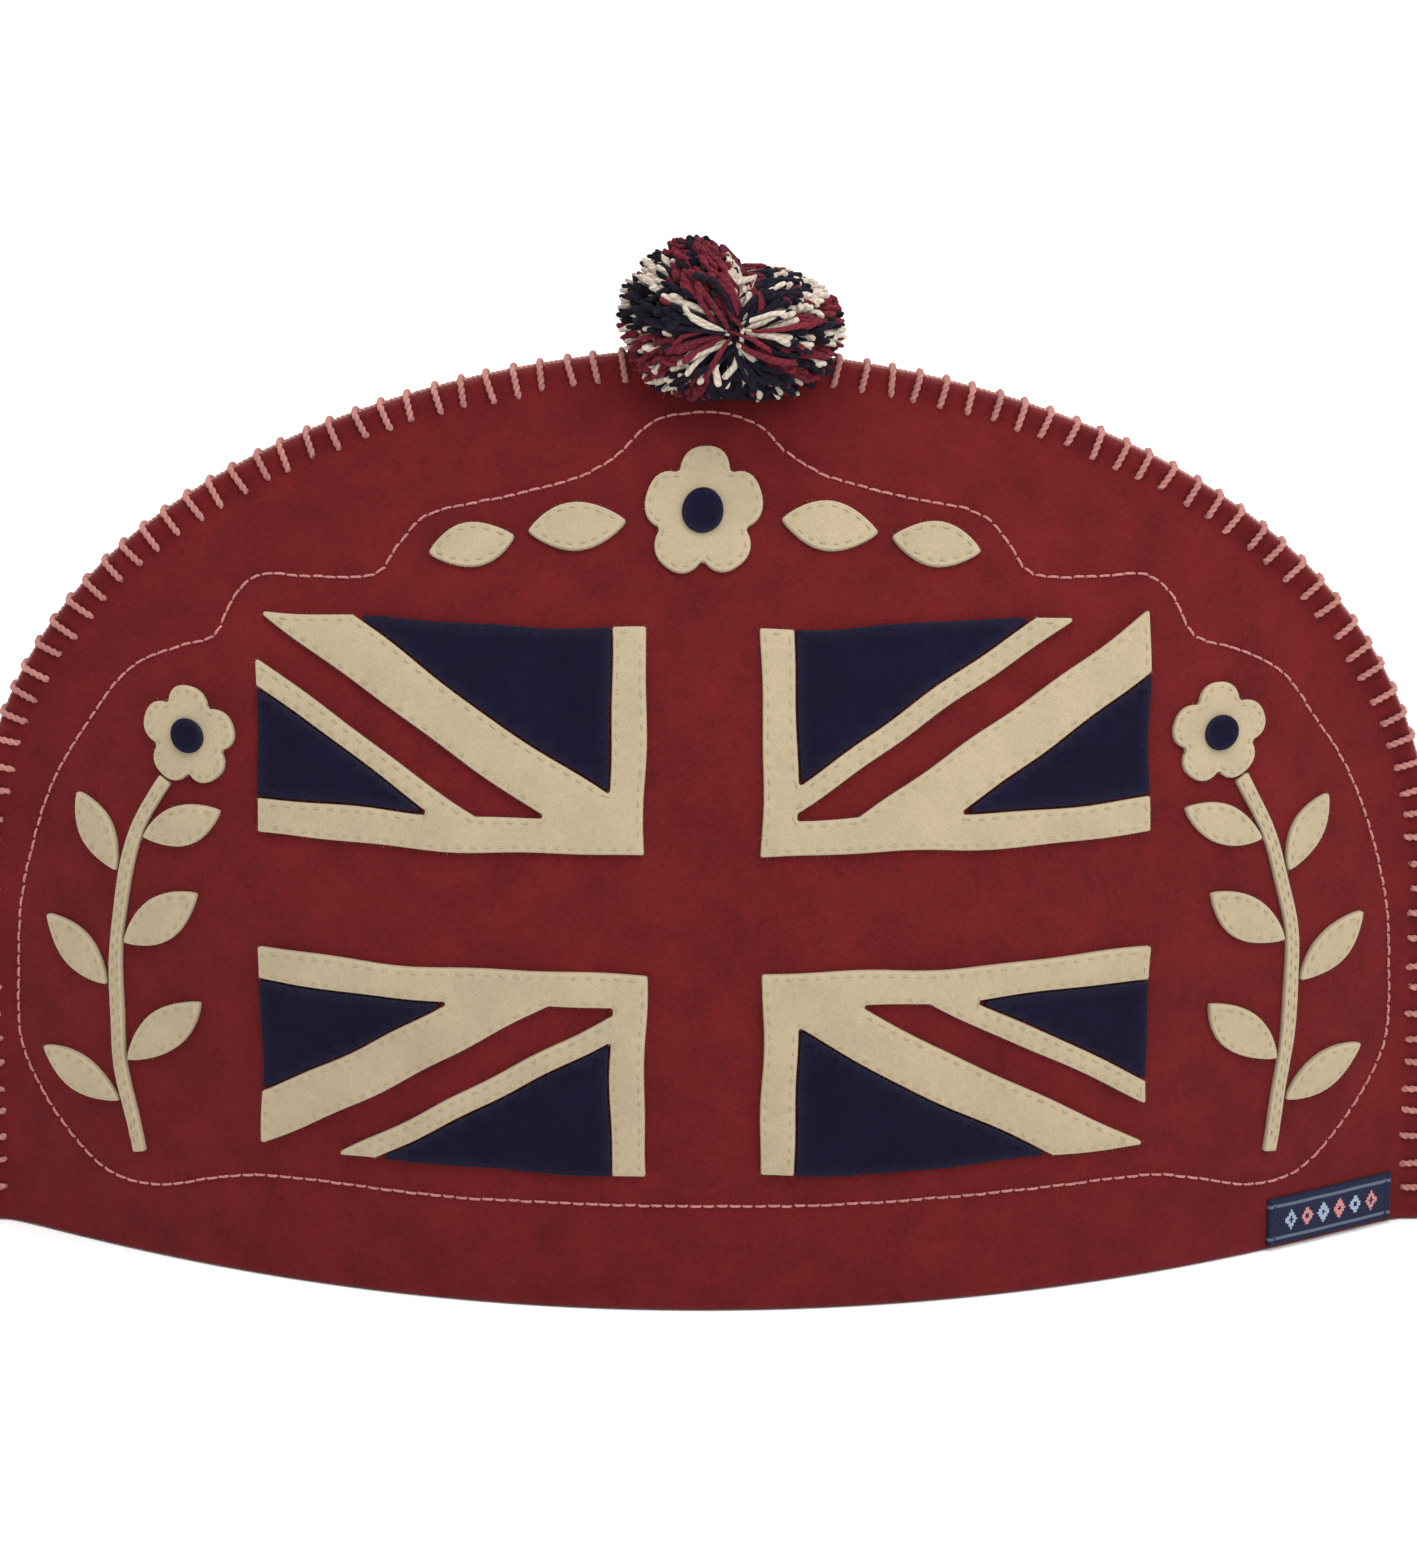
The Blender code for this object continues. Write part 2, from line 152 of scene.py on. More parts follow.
class CosyShape(PropertyGroup):
    """Sizes of the standing cosy."""
    half_width: length("Half width", "Seam edge from the middle", PANEL_HIGH.x)
    height: length("Height", "Crown of the seam", PANEL_HIGH.z)
    side_wall: length("Side wall", "Straight upright part of each side", 0.065)
    round_x: factor("Round across", "Power of the arch across", 1.8, 1.0, 5.0)
    round_z: factor("Round up", "Power of the arch upwards", 2.85, 1.0, 5.0)
    bow: length("Bow", "How far each felt bows out at the hem", -PANEL_LOW.y - FELT - GAP / 2)
    seam: length("Seam", "Width of the flat seam", 0.005)
    seam_ease: length("Crease", "Softness of the crease beside the seam", 0.0035)
    uneven: length("Unevenness", "Height of the felt's soft swells", 0.00055)
    edge_round: length("Edge rounding", "Rounding of the thick felt's cut edges", 0.0011)


class CosyDesign(PropertyGroup):
    """Sizes of the cut pieces on the front."""
    felt: length("Cut felt", "Thickness of the cut pieces", 0.0013)
    rise: length("Rise", "A piece's middle plane above the felt below", 0.00045)
    beside: length("Gap", "Space between neighbouring pieces", 0.0005)
    flag_width: length("Flag width", "Width of the flag", 0.225)
    flag_height: length("Flag height", "Height of the flag", 0.135)
    flag_low: length("Flag above hem", "Lower edge of the flag", 0.037)
    cross: length("Cross", "Width of the cross's arms", 0.029)
    border: length("Border", "Cream edging of the cross", 0.0085)
    broad: length("Broad diagonal", "Broad cream diagonal", 0.0125)
    narrow: length("Narrow diagonal", "Narrow cream diagonal", 0.0055)
    diagonal: length("Red diagonal", "Bare diagonal between the cream ones", 0.0095)
    stem: length("Stem", "Width of a stem", 0.0034)
    sprig_flower: length("Sprig flower", "Radius of the flower on a sprig", 0.012)
    crown_flower: length("Crown flower", "Radius of the flower above the flag", 0.015)
    wobble: length("Hand cutting", "How far scissors strayed", 0.0006)


class CosyStitching(PropertyGroup):
    """Yarn and thread."""
    pitch: length("Seam stitch spacing", "Spacing of the stitches over the seam", 0.007)
    leg: length("Seam stitch length", "Length of a seam stitch on the felt", 0.0069)
    yarn: length("Seam yarn", "Radius of the seam yarn", 0.00080)
    echo_pitch: length("Line stitch spacing", "Spacing in the line round the design", 0.0033)
    echo_leg: length("Line stitch length", "Length of a stitch in the line", 0.0026)
    echo_thread: length("Line thread", "Radius of the line's thread", 0.00036)
    sew_pitch: length("Sewing spacing", "Spacing of the stitches in the cut pieces", 0.0036)
    sew_leg: length("Sewing length", "Length of a stitch in the cut pieces", 0.0016)
    sew_inset: length("Sewing inset", "Sewing from a piece's edge", 0.00125)
    sew_thread: length("Sewing thread", "Radius of the sewing thread", 0.00017)


class CosyPompom(PropertyGroup):
    """Sizes of the pompom."""
    centre: FloatVectorProperty(name="Centre", description="Middle of the pompom", size=3,
                                default=(0.0075, -0.0045, PANEL_HIGH.z + 0.0086), unit="LENGTH")
    radii: FloatVectorProperty(name="Radii", description="Reach across, in depth and up", size=3,
                               default=(0.0290, 0.0255, 0.0200), unit="LENGTH")
    strands: IntProperty(name="Strands", description="Cut yarn ends", default=3200, min=50,
                         max=4000)
    yarn: length("Yarn", "Radius of the fluffed yarn", 0.00084)
    ragged: factor("Ragged", "Uneven cut of the yarn", 0.08)
    cleft: factor("Cleft", "Depth of the cleft between the lobes", 0.37)
    cleft_place: factor("Cleft place", "Sideways lean of the cleft", 0.18, -1.0)
    cleft_width: factor("Cleft width", "Width of the cleft", 0.35, 0.05)
    lean: factor("Lean", "How much higher the left lobe stands", 0.20)
    settled: factor("Settled", "How much broader it sits at the bottom than at the top", 0.11)
    fan: factor("Fan", "Depth that the yarn fans over before it parts at the tie", 0.77)
    seed: IntProperty(name="Seed", description="Seed of the strands' places", default=7)


class CosyColours(PropertyGroup):
    """Colours of felt, yarn and thread."""
    red: colour("Red felt", "Thick felt", (0.112, 0.0080, 0.0092))
    cream: colour("Cream felt", "Cut cream pieces", (0.376, 0.306, 0.200))
    navy: colour("Navy felt", "Cut navy pieces", (0.0046, 0.0033, 0.0165))
    ribbon: colour("Ribbon", "Woven tab", (0.0100, 0.0125, 0.0340))
    ribbon_pale: colour("Ribbon figures", "Woven tab's pale blue thread", (0.260, 0.330, 0.430))
    ribbon_rose: colour("Ribbon rose", "Woven tab's rose thread", (0.480, 0.190, 0.190))
    salmon: colour("Seam yarn", "Yarn over the seam", (0.398, 0.172, 0.148))
    pink: colour("Line thread", "Thread of the line round the design", (0.460, 0.190, 0.175))
    burgundy: colour("Burgundy yarn", "Pompom yarn", (0.122, 0.0125, 0.0220))
    night: colour("Navy yarn", "Pompom yarn", (0.0074, 0.0056, 0.0125))
    pale: colour("Cream yarn", "Pompom yarn", (0.520, 0.440, 0.360))


class CosyStage(PropertyGroup):
    """Floor, lights and camera."""
    floor: colour("Floor", "Colour of the floor", (0.955, 0.955, 0.955))
    key: factor("Key light", "Power of the key light", 19.4, high=200.0)
    fill: factor("Fill light", "Power of the fill lights", 8.0, high=200.0)
    top: factor("Top light", "Power of the light above", 18.0, high=200.0)
    sky: factor("Sky", "Brightness of the surroundings", 1.0, high=5.0)
    distance: length("Camera distance", "Camera from the design", 1.30)
    tilt: FloatProperty(name="Camera height", description="Camera's angle above level",
                        default=math.radians(17.2), unit="ROTATION", subtype="ANGLE")
    lens: FloatProperty(name="Lens", description="Focal length", default=115.1, unit="CAMERA")


GROUPS = {
    "cosy_shape": CosyShape, "cosy_design": CosyDesign, "cosy_stitching": CosyStitching,
    "cosy_pompom": CosyPompom, "cosy_colours": CosyColours, "cosy_stage": CosyStage,
}


def sizes(group):
    """One of the scene's groups of sizes."""
    return getattr(bpy.context.scene, "cosy_" + group)


# ---------------------------------------------------------------- directions and paths

def unit(vectors):
    """Directions of length one."""
    return vectors / np.maximum(np.linalg.norm(vectors, axis=-1, keepdims=True), 1e-12)


def quarter_turn(flat):
    """Flat directions turned anticlockwise by a right angle."""
    return np.stack((-flat[..., 1], flat[..., 0]), axis=-1)


def stood_up(flat, depth=0.0):
    """Flat points or directions in space, at a depth."""
    return np.stack((flat[..., 0], np.zeros_like(flat[..., 0]) + depth, flat[..., 1]), axis=-1)


def run_lengths(points):
    """Distance along each path at each of its points."""
    steps = np.linalg.norm(np.diff(points, axis=-2), axis=-1)
    return np.concatenate((np.zeros_like(steps[..., :1]), np.cumsum(steps, axis=-1)), axis=-1)


def along_path(points, at):
    """Flat points at distances along one flat path."""
    along = run_lengths(points)
    return np.stack([np.interp(at, along, points[:, axis]) for axis in (0, 1)], axis=-1)


def curve_at(paths, share):
    """Points and directions at shares of smooth curves through each path's control points."""
    count = paths.shape[1]
    place = np.clip(share, 0.0, 1.0) * (count - 1)
    left = np.minimum(place.astype(int), count - 2)
    t = (place - left)[..., None]
    first = 2 * paths[:, :1] - paths[:, 1:2]
    last = 2 * paths[:, -1:] - paths[:, -2:-1]
    full = np.concatenate((first, paths, last), axis=1)
    rows = np.arange(len(paths))[:, None]
    a, b, c, d = (full[rows, left + step] for step in range(4))
    bend, turn = 2 * a - 5 * b + 4 * c - d, 3 * b - a - 3 * c + d
    point = 0.5 * (2 * b + (c - a) * t + bend * t ** 2 + turn * t ** 3)
    return point, unit(0.5 * ((c - a) + 2 * bend * t + 3 * turn * t ** 2))


def smooth_path(paths, levels):
    """Points and directions at even shares of each smooth path's own length."""
    fine = np.linspace(0, 1, 6 * (paths.shape[1] - 1) + 1)
    along = run_lengths(curve_at(paths, np.broadcast_to(fine, (len(paths), fine.size)))[0])
    return curve_at(paths, np.stack([np.interp(levels * row[-1], row, fine) for row in along]))


def nearest(points, targets):
    """Index and distance of the target nearest to each flat point."""
    tree = KDTree(len(targets))
    for index, (x, z) in enumerate(targets):
        tree.insert((x, 0.0, z), index)
    tree.balance()
    found = [tree.find((x, 0.0, z))[1:] for x, z in points]
    return np.array([index for index, _ in found]), np.array([away for _, away in found])


def dent(distance, depth, width):
    """Depth of the soft dent that thread presses into felt, at a distance from it."""
    return depth * np.exp(-(distance / width) ** 2)


# ---------------------------------------------------------------- the standing wall

def ring_at(x, z):
    """Share of the way from the spine (0) to the inner edge of the seam (1) at flat points."""
    shape = sizes("shape")
    across = np.abs(x) / (shape.half_width - shape.seam)
    top = shape.height - shape.seam - shape.side_wall
    up = np.clip((z - shape.side_wall) / top, 0.0, None)
    low, high = np.zeros_like(across), across + up + 1e-9
    power_x, power_z = shape.round_x, shape.round_z
    # Halving finds the ring whose arch passes through each point
    for _ in range(34):
        middle = (low + high) / 2
        outside = (across / middle) ** power_x + (up / middle) ** power_z > 1
        low, high = np.where(outside, middle, low), np.where(outside, high, middle)
    return high


def bow_at(x, z):
    """How far a felt's inner face stands out from the seam's plane."""
    shape = sizes("shape")
    full = (shape.bow + shape.seam_ease) * np.clip(1 - ring_at(x, z) ** 2, 0.0, None)
    return np.hypot(full, shape.seam_ease) - shape.seam_ease


def wall(flat, side, height):
    """Points above the inner face of the front (-1) or back (1) felt, and the directions out."""
    x, z = flat[..., 0], flat[..., 1]
    step = 0.0001
    slope_x = (bow_at(x + step, z) - bow_at(x - step, z)) / (2 * step)
    slope_z = (bow_at(x, z + step) - bow_at(x, z - step)) / (2 * step)
    out = unit(np.stack((-slope_x, np.full_like(x, side), -slope_z), axis=-1))
    base = stood_up(flat, side * (GAP / 2 + bow_at(x, z)))
    return base + out * np.asarray(height)[..., None], out


def swell(flat, side):
    """Soft hollows and swells of the felt, 5 to 15 cm long, none at the seam and the hem."""
    x, z = flat[..., 0], flat[..., 1]
    fade = np.clip((1 - ring_at(x, z)) / 0.22, 0, 1) * np.clip(z / 0.03, 0, 1)
    waves = np.sin(47 * x + 31 * z + 1.3 * side) * np.cos(39 * z - 22 * x + side)
    waves += 0.45 * np.sin(118 * x - 64 * z + side) + 0.35 * np.sin(83 * z + 97 * x * side)
    return sizes("shape").uneven * fade * waves


def ring_point(across, upright, up, inset=0.0):
    """Flat points of the ring at an inset from the seam's edge."""
    shape = sizes("shape")
    half, crown = shape.half_width - inset, shape.height - inset
    if inset > shape.seam:
        share = half / (shape.half_width - shape.seam)
        crown = shape.side_wall + (shape.height - shape.seam - shape.side_wall) * share
    return np.stack((half * across, upright + up * (crown - shape.side_wall)), axis=-1)


def seam_table():
    """Fine stations along the seam's edge: share across, height on the upright, share up."""
    shape = sizes("shape")
    turn = np.linspace(0.0, math.pi / 2, 3001)
    across = np.concatenate(([1.0], np.cos(turn) ** (2 / shape.round_x)))
    upright = np.concatenate(([0.0], np.full(turn.size, shape.side_wall)))
    up = np.concatenate(([0.0], np.sin(turn) ** (2 / shape.round_z)))
    halves = ((across, -1), (upright, 1), (up, 1))
    return [np.concatenate((half, sign * half[-2::-1])) for half, sign in halves]


def seam_length():
    """Length of the seam from hem to hem."""
    return run_lengths(ring_point(*seam_table()))[-1]


def seam_edge(at):
    """Points on the seam's edge at given distances from the right-hand hem, and the way inwards."""
    edge, beside = ring_point(*seam_table()), 0.002
    run = along_path(edge, at + beside) - along_path(edge, at - beside)
    return along_path(edge, at), quarter_turn(unit(run))


def seam_legs():
    """Outer and inner ends of the seam stitches as seen flat, and the way inwards."""
    stitching, total, off_hem = sizes("stitching"), seam_length(), 0.0035
    count = int((total - 2 * off_hem) / stitching.pitch)
    rng = np.random.default_rng(3)
    at = (total - (count - 1) * stitching.pitch) / 2 + np.arange(count) * stitching.pitch
    at += rng.uniform(-0.0004, 0.0004, count)
    outer, inward = seam_edge(at)
    leaning = inward + rng.uniform(-0.12, 0.12, count)[:, None] * quarter_turn(inward)
    reach = stitching.leg + rng.uniform(-0.0008, 0.0007, count)
    return outer, outer + leaning * reach[:, None], inward


def echo_path(spacing):
    """Evenly spaced flat points round the closed line that echoes the design."""
    right = np.array(ECHO_LINE)
    ring = np.concatenate((right, right[-2:0:-1] * (-1, 1), right[:1]))[None]
    fine = smooth_path(ring, np.linspace(0, 1, 4001))[0][0]
    total = run_lengths(fine)[-1]
    return along_path(fine, np.linspace(0, total, round(total / spacing), endpoint=False))


# ---------------------------------------------------------------- materials

class Wire:
    """A value that changes over a surface; arithmetic on it adds math nodes."""

    def __init__(self, socket):
        self.socket = socket

    def to(self, operation, *values):
        """Output of a math node that takes this value first."""
        return wire(self.socket.id_data, "ShaderNodeMath", dict(enumerate((self, *values))),
                    operation=operation)

    def __add__(self, other):
        return self.to("ADD", other)

    def __sub__(self, other):
        return self.to("SUBTRACT", other)

    def __mul__(self, other):
        return self.to("MULTIPLY", other)


def feed(made, values):
    """Set a node's inputs, as values or links."""
    for socket, value in values.items():
        if isinstance(value, Wire):
            made.id_data.links.new(value.socket, made.inputs[socket])
        else:
            made.inputs[socket].default_value = value


def node(tree, kind, values=None, **settings):
    """Add a node with its settings and inputs."""
    made = tree.nodes.new(kind)
    for key, value in settings.items():
        setattr(made, key, value)
    feed(made, values or {})
    return made


def wire(tree, kind, values=None, output=0, **settings):
    """One output of a new node."""
    return Wire(node(tree, kind, values, **settings).outputs[output])


def noise(tree, vector, scale, detail, rough=0.5, distortion=0.0):
    """Cloudy noise."""
    return wire(tree, "ShaderNodeTexNoise", {"Vector": vector, "Scale": scale, "Detail": detail,
                                             "Roughness": rough, "Distortion": distortion})


def streaks(tree, vector, turn, across, along, detail):
    """Noise drawn out into short hairs that lie in one direction."""
    drawn = wire(tree, "ShaderNodeMapping", {"Vector": vector, "Rotation": turn,
                                             "Scale": (1 / along, 1 / across, 1 / across)},
                 vector_type="TEXTURE")
    return noise(tree, drawn, 1.0, detail, rough=0.65, distortion=0.35)


def stretched(value, low, high):
    """A value that runs from 0 to 1 between two levels."""
    return wire(value.socket.id_data, "ShaderNodeMapRange",
                {"Value": value, "From Min": low, "From Max": high})


def mixed(tree, share, first, second):
    """Mix of two colours."""
    return wire(tree, "ShaderNodeMix", {0: share, 6: first, 7: second}, 2, data_type="RGBA")


def effect_group(name, extra=()):
    """New shader node group: its tree, its inputs, and its output node for Tone and Height."""
    tree = bpy.data.node_groups.new(name, "ShaderNodeTree")
    tree.interface.new_socket("Vector", in_out="INPUT", socket_type="NodeSocketVector")
    for label in extra:
        tree.interface.new_socket(label, in_out="INPUT", socket_type="NodeSocketFloat")
    for label in ("Tone", "Height"):
        tree.interface.new_socket(label, in_out="OUTPUT", socket_type="NodeSocketFloat")
    start, end = tree.nodes.new("NodeGroupInput"), tree.nodes.new("NodeGroupOutput")
    return tree, [Wire(start.outputs[label]) for label in ("Vector", *extra)], end


def felt_fibres():
    """Matted wool: cloudy mottling, fine grain and short hairs lying in several directions."""
    if "felt_fibres" in bpy.data.node_groups:
        return bpy.data.node_groups["felt_fibres"]
    tree, (vector, mottle), end = effect_group("felt_fibres", ["Mottle"])
    cloud = noise(tree, vector, 75.0, 4.0, rough=0.6)
    grain = noise(tree, vector, 950.0, 3.0, rough=0.7, distortion=0.8)
    first, second, third = (
        streaks(tree, vector, turn, across=2300.0, along=360.0, detail=2.0)
        for turn in ((0.3, 0.35, 0.0), (-0.2, 1.45, 0.0), (0.4, 2.5, 0.0)))
    hair = stretched(first.to("MAXIMUM", second).to("MAXIMUM", third), 0.45, 0.78)
    fine = grain * 0.5 + hair * 0.5
    feed(end, {"Tone": fine + (cloud - 0.5) * mottle * 2.0, "Height": fine})
    return tree


def yarn_fibres():
    """Spun yarn: plies wound round the strand with painted shade in their grooves, and hairs along
    its own straightened space.
    """
    if "yarn_fibres" in bpy.data.node_groups:
        return bpy.data.node_groups["yarn_fibres"]
    tree, (vector, winding), end = effect_group("yarn_fibres", ["Winding"])
    hair = stretched(streaks(tree, vector, (0.0, math.pi / 2, 0.0), across=3600.0, along=480.0,
                             detail=3.0), 0.34, 0.66)
    cloud = noise(tree, vector, 260.0, 2.0)
    x, y, z = map(Wire, node(tree, "ShaderNodeSeparateXYZ", {0: vector}).outputs)
    ply = ((z * winding + y.to("ARCTAN2", x)) * 2.0).to("COSINE") * 0.25 + 0.25
    # Tone is darker in the grooves between the plies: painted shade. The same ply pattern is the
    # bump's height.
    feed(end, {"Tone": ply * 0.9 + hair * 0.5 + cloud * 0.4 - 0.16, "Height": hair * 0.4 + ply})
    return tree


def shade_of(base, share):
    """A colour made lighter or darker, as four numbers."""
    return tuple(min(1.0, value * share) for value in base[:3]) + (1.0,)


def cloth(shader, body, base, height, bump, sheen, rough):
    """Matt cloth finish: its colour and bump, and constants on the shader's own sockets."""
    strength, distance = bump
    feed(shader, {
        "Base Color": body,
        "Normal": wire(shader.id_data, "ShaderNodeBump", {
            "Strength": strength, "Distance": distance, "Height": height}),
        "Roughness": rough, "Specular IOR Level": 0.12,
        "Sheen Weight": sheen, "Sheen Roughness": 0.55,
        "Sheen Tint": shade_of([value * 0.6 + 0.25 for value in base[:3]], 1.0)})


def new_material(name):
    """Empty node material, its tree and its shader."""
    made = bpy.data.materials.new(name)
    made.use_nodes = True
    return made, made.node_tree, made.node_tree.nodes["Principled BSDF"]


def felt(kind):
    """Matted wool felt in red, cream or navy, paler at its cut edges: a painted highlight on their
    loose fibres.
    """
    name = f"{kind}_felt_cloth"
    if name in bpy.data.materials:
        return bpy.data.materials[name]
    made, tree, shader = new_material(name)
    base, (mottle, sheen, contrast) = getattr(sizes("colours"), kind), FELT_LOOKS[kind]
    fibres = node(tree, "ShaderNodeGroup", {
        "Vector": wire(tree, "ShaderNodeTexCoord", output="Object"), "Mottle": mottle},
        node_tree=felt_fibres())
    tone, height = map(Wire, fibres.outputs)
    body = mixed(tree, tone, shade_of(base, 1 - contrast * 1.6), shade_of(base, 1 + contrast * 1.4))
    # Paler towards each cut edge: a painted highlight on the loose fibres there.
    fluff = wire(tree, "ShaderNodeAttribute", output="Fac", attribute_name="cut") * height
    body = mixed(tree, fluff, body, shade_of([value * 0.93 + 0.02 for value in base], 1.2))
    cloth(shader, body, base, height, (0.55, 0.0005), sheen, 0.95)
    return made


def yarn(name, base, contrast, share=1.0, winding=0.0):
    """Spun yarn that reads each strand's straightened space and its own tone."""
    if name in bpy.data.materials:
        return bpy.data.materials[name]
    made, tree, shader = new_material(name)
    base = shade_of(base, share)
    fibres = node(tree, "ShaderNodeGroup", {
        "Vector": wire(tree, "ShaderNodeAttribute", output="Vector", attribute_name="strand"),
        "Winding": winding}, node_tree=yarn_fibres())
    tone, height = map(Wire, fibres.outputs)
    own = wire(tree, "ShaderNodeAttribute", output="Fac", attribute_name="tone")
    body = mixed(tree, tone * 0.65 + own * 0.35, shade_of(base, 1 - contrast * 1.5),
                 shade_of(base, 1 + contrast * 1.5))
    cloth(shader, body, base, height, (0.8, 0.00035), 0.1, 0.9)
    return made


def ribbon(name, base, pale, rose):
    """Woven ribbon: fine ribs, two thin stripes and a row of diamonds in two colours, by UV."""
    ribs, threads, figures, margin = 74.0, 30.0, 6.0, 0.11
    made, tree, shader = new_material(name)
    across, up, _ = map(Wire, node(tree, "ShaderNodeSeparateXYZ",
                                   {0: wire(tree, "ShaderNodeUVMap")}).outputs)
    weft = (up * (2 * math.pi * threads)).to("SINE")
    warp = (across * (2 * math.pi * ribs)).to("SINE")
    weave = weft.to("MULTIPLY_ADD", 0.15, (weft * warp).to("MULTIPLY_ADD", 0.35, 0.5))
    # Figures follow whole threads
    step_x = (across * ribs).to("ROUND").to("DIVIDE", ribs)
    step_z = (up * threads).to("ROUND").to("DIVIDE", threads)
    cell = (step_x - margin) * (figures / (1 - 2 * margin))
    inside = cell.to("GREATER_THAN", 0.0) * cell.to("LESS_THAN", figures)
    odd = (cell * 0.5).to("FRACT").to("GREATER_THAN", 0.5)
    beside = (cell.to("FRACT") - 0.5).to("ABSOLUTE")
    above = (step_z - 0.5).to("ABSOLUTE")
    diamond = above.to("MULTIPLY_ADD", 1.6, beside)
    filled = diamond.to("LESS_THAN", 0.36) * inside
    filled = filled - filled * diamond.to("LESS_THAN", 0.12)
    body = mixed(tree, weave, shade_of(base, 0.6), shade_of(base, 1.5))
    body = mixed(tree, above.to("COMPARE", 0.35, 0.02), body, shade_of(pale, 0.35))
    thread = mixed(tree, odd, shade_of(pale, 1.0), shade_of(rose, 1.0))
    cloth(shader, mixed(tree, filled, body, thread), base, weave, (0.7, 0.0002), 0.05, 0.7)
    return made


# ---------------------------------------------------------------- meshes

def finish_piece(made, slot, materials, *nodes):
    """Give a piece its materials, body and the plain solids it stands for; its slot is not used."""
    for material in materials:
        made.data.materials.append(material)
    made.data.shade_smooth()
    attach(made, "root")
    if nodes:
        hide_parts(*nodes)


def new_object(name, data):
    """Object in the scene with a mesh, light, camera or finished bmesh."""
    if isinstance(data, bmesh.types.BMesh):
        mesh = bpy.data.meshes.new(name)
        data.to_mesh(mesh)
        data.free()
        data = mesh
    made = bpy.data.objects.new(name, data)
    bpy.context.scene.collection.objects.link(made)
    return made


def flat_of(verts):
    """Flat coordinates of vertices."""
    return np.array([(vert.co.x, vert.co.z) for vert in verts])


def move_to(verts, points):
    """Put every vertex at its point."""
    for vert, point in zip(verts, points):
        vert.co = point


def cut_profile(inset, size, rim=0.5):
    """Share of the full thickness at a distance inside a cut edge."""
    share = np.clip(inset / size, 0.0, 1.0)
    return rim + (1 - rim) * (1 - (1 - share) ** 2.5) ** 0.5


def thicken(bm, low, high, side, cut):
    """Turn a flat sheet into a closed one between two heights, and lay it on the wall."""
    layer = bm.verts.layers.float.new("cut")
    flat, count = flat_of(bm.verts), len(bm.verts)
    for vert, value in zip(bm.verts, cut):
        vert[layer] = value
    made = bmesh.ops.extrude_face_region(bm, geom=bm.faces[:])["geom"]
    upper = [item for item in made if isinstance(item, bmesh.types.BMVert)]
    twin = nearest(flat_of(upper), flat)[0]
    move_to(list(bm.verts)[:count], wall(flat, side, low)[0])
    move_to(upper, wall(flat, side, high)[0][twin])
    bmesh.ops.recalc_face_normals(bm, faces=bm.faces[:])


def strand_template(sides, levels, plies=2, depth=0.15):
    """Unit strand along Z: a closed tube with rings at the levels, swollen where its plies lie."""
    if isinstance(levels, int):
        levels = np.linspace(0, 1, levels)
    bm = bmesh.new()
    bmesh.ops.create_cone(bm, cap_ends=True, cap_tris=True, segments=sides, radius1=1.0,
                          radius2=1.0, depth=1.0)
    uprights = [edge for edge in bm.edges if abs(edge.verts[0].co.z - edge.verts[1].co.z) > 0.5]
    bmesh.ops.subdivide_edges(bm, edges=uprights, cuts=len(levels) - 2)
    for vert in bm.verts:
        swollen = 1 + depth * math.cos(plies * math.atan2(vert.co.y, vert.co.x))
        level = levels[round((vert.co.z + 0.5) * (len(levels) - 1))]
        # The middle of the far cap stands a little proud of its ring
        if vert.co.z > 0.4 and vert.co.xy.length < 0.1:
            level = 1.0
        vert.co = (vert.co.x * swollen, vert.co.y * swollen, level)
    bm.verts.index_update()
    points = np.array([vert.co for vert in bm.verts])
    faces = [[vert.index for vert in face.verts] for face in bm.faces]
    bm.free()
    return points, faces


def joined(name, points, faces, attributes, kinds=None):
    """One mesh from a template's faces repeated over many sets of its vertices."""
    count, size = points.shape[:2]
    corners = np.concatenate(faces)
    sides = np.array([len(face) for face in faces])
    loops = (corners[None] + size * np.arange(count)[:, None]).ravel()
    starts = np.concatenate(([0], np.cumsum(np.tile(sides, count))[:-1]))
    mesh = bpy.data.meshes.new(name)
    mesh.vertices.add(count * size)
    mesh.vertices.foreach_set("co", points.astype(np.float32).ravel())
    mesh.loops.add(len(loops))
    mesh.loops.foreach_set("vertex_index", loops.astype(np.int32))
    mesh.polygons.add(count * len(faces))
    mesh.polygons.foreach_set("loop_start", starts.astype(np.int32))
    if kinds is not None:
        repeated = np.repeat(kinds, len(faces))
        mesh.polygons.foreach_set("material_index", repeated.astype(np.int32))
    mesh.update(calc_edges=True)
    for label, (kind, values) in attributes.items():
        layer = mesh.attributes.new(label, kind, "POINT")
        layer.data.foreach_set("vector" if kind == "FLOAT_VECTOR" else "value",
                               values.astype(np.float32).ravel())
    return new_object(name, mesh)


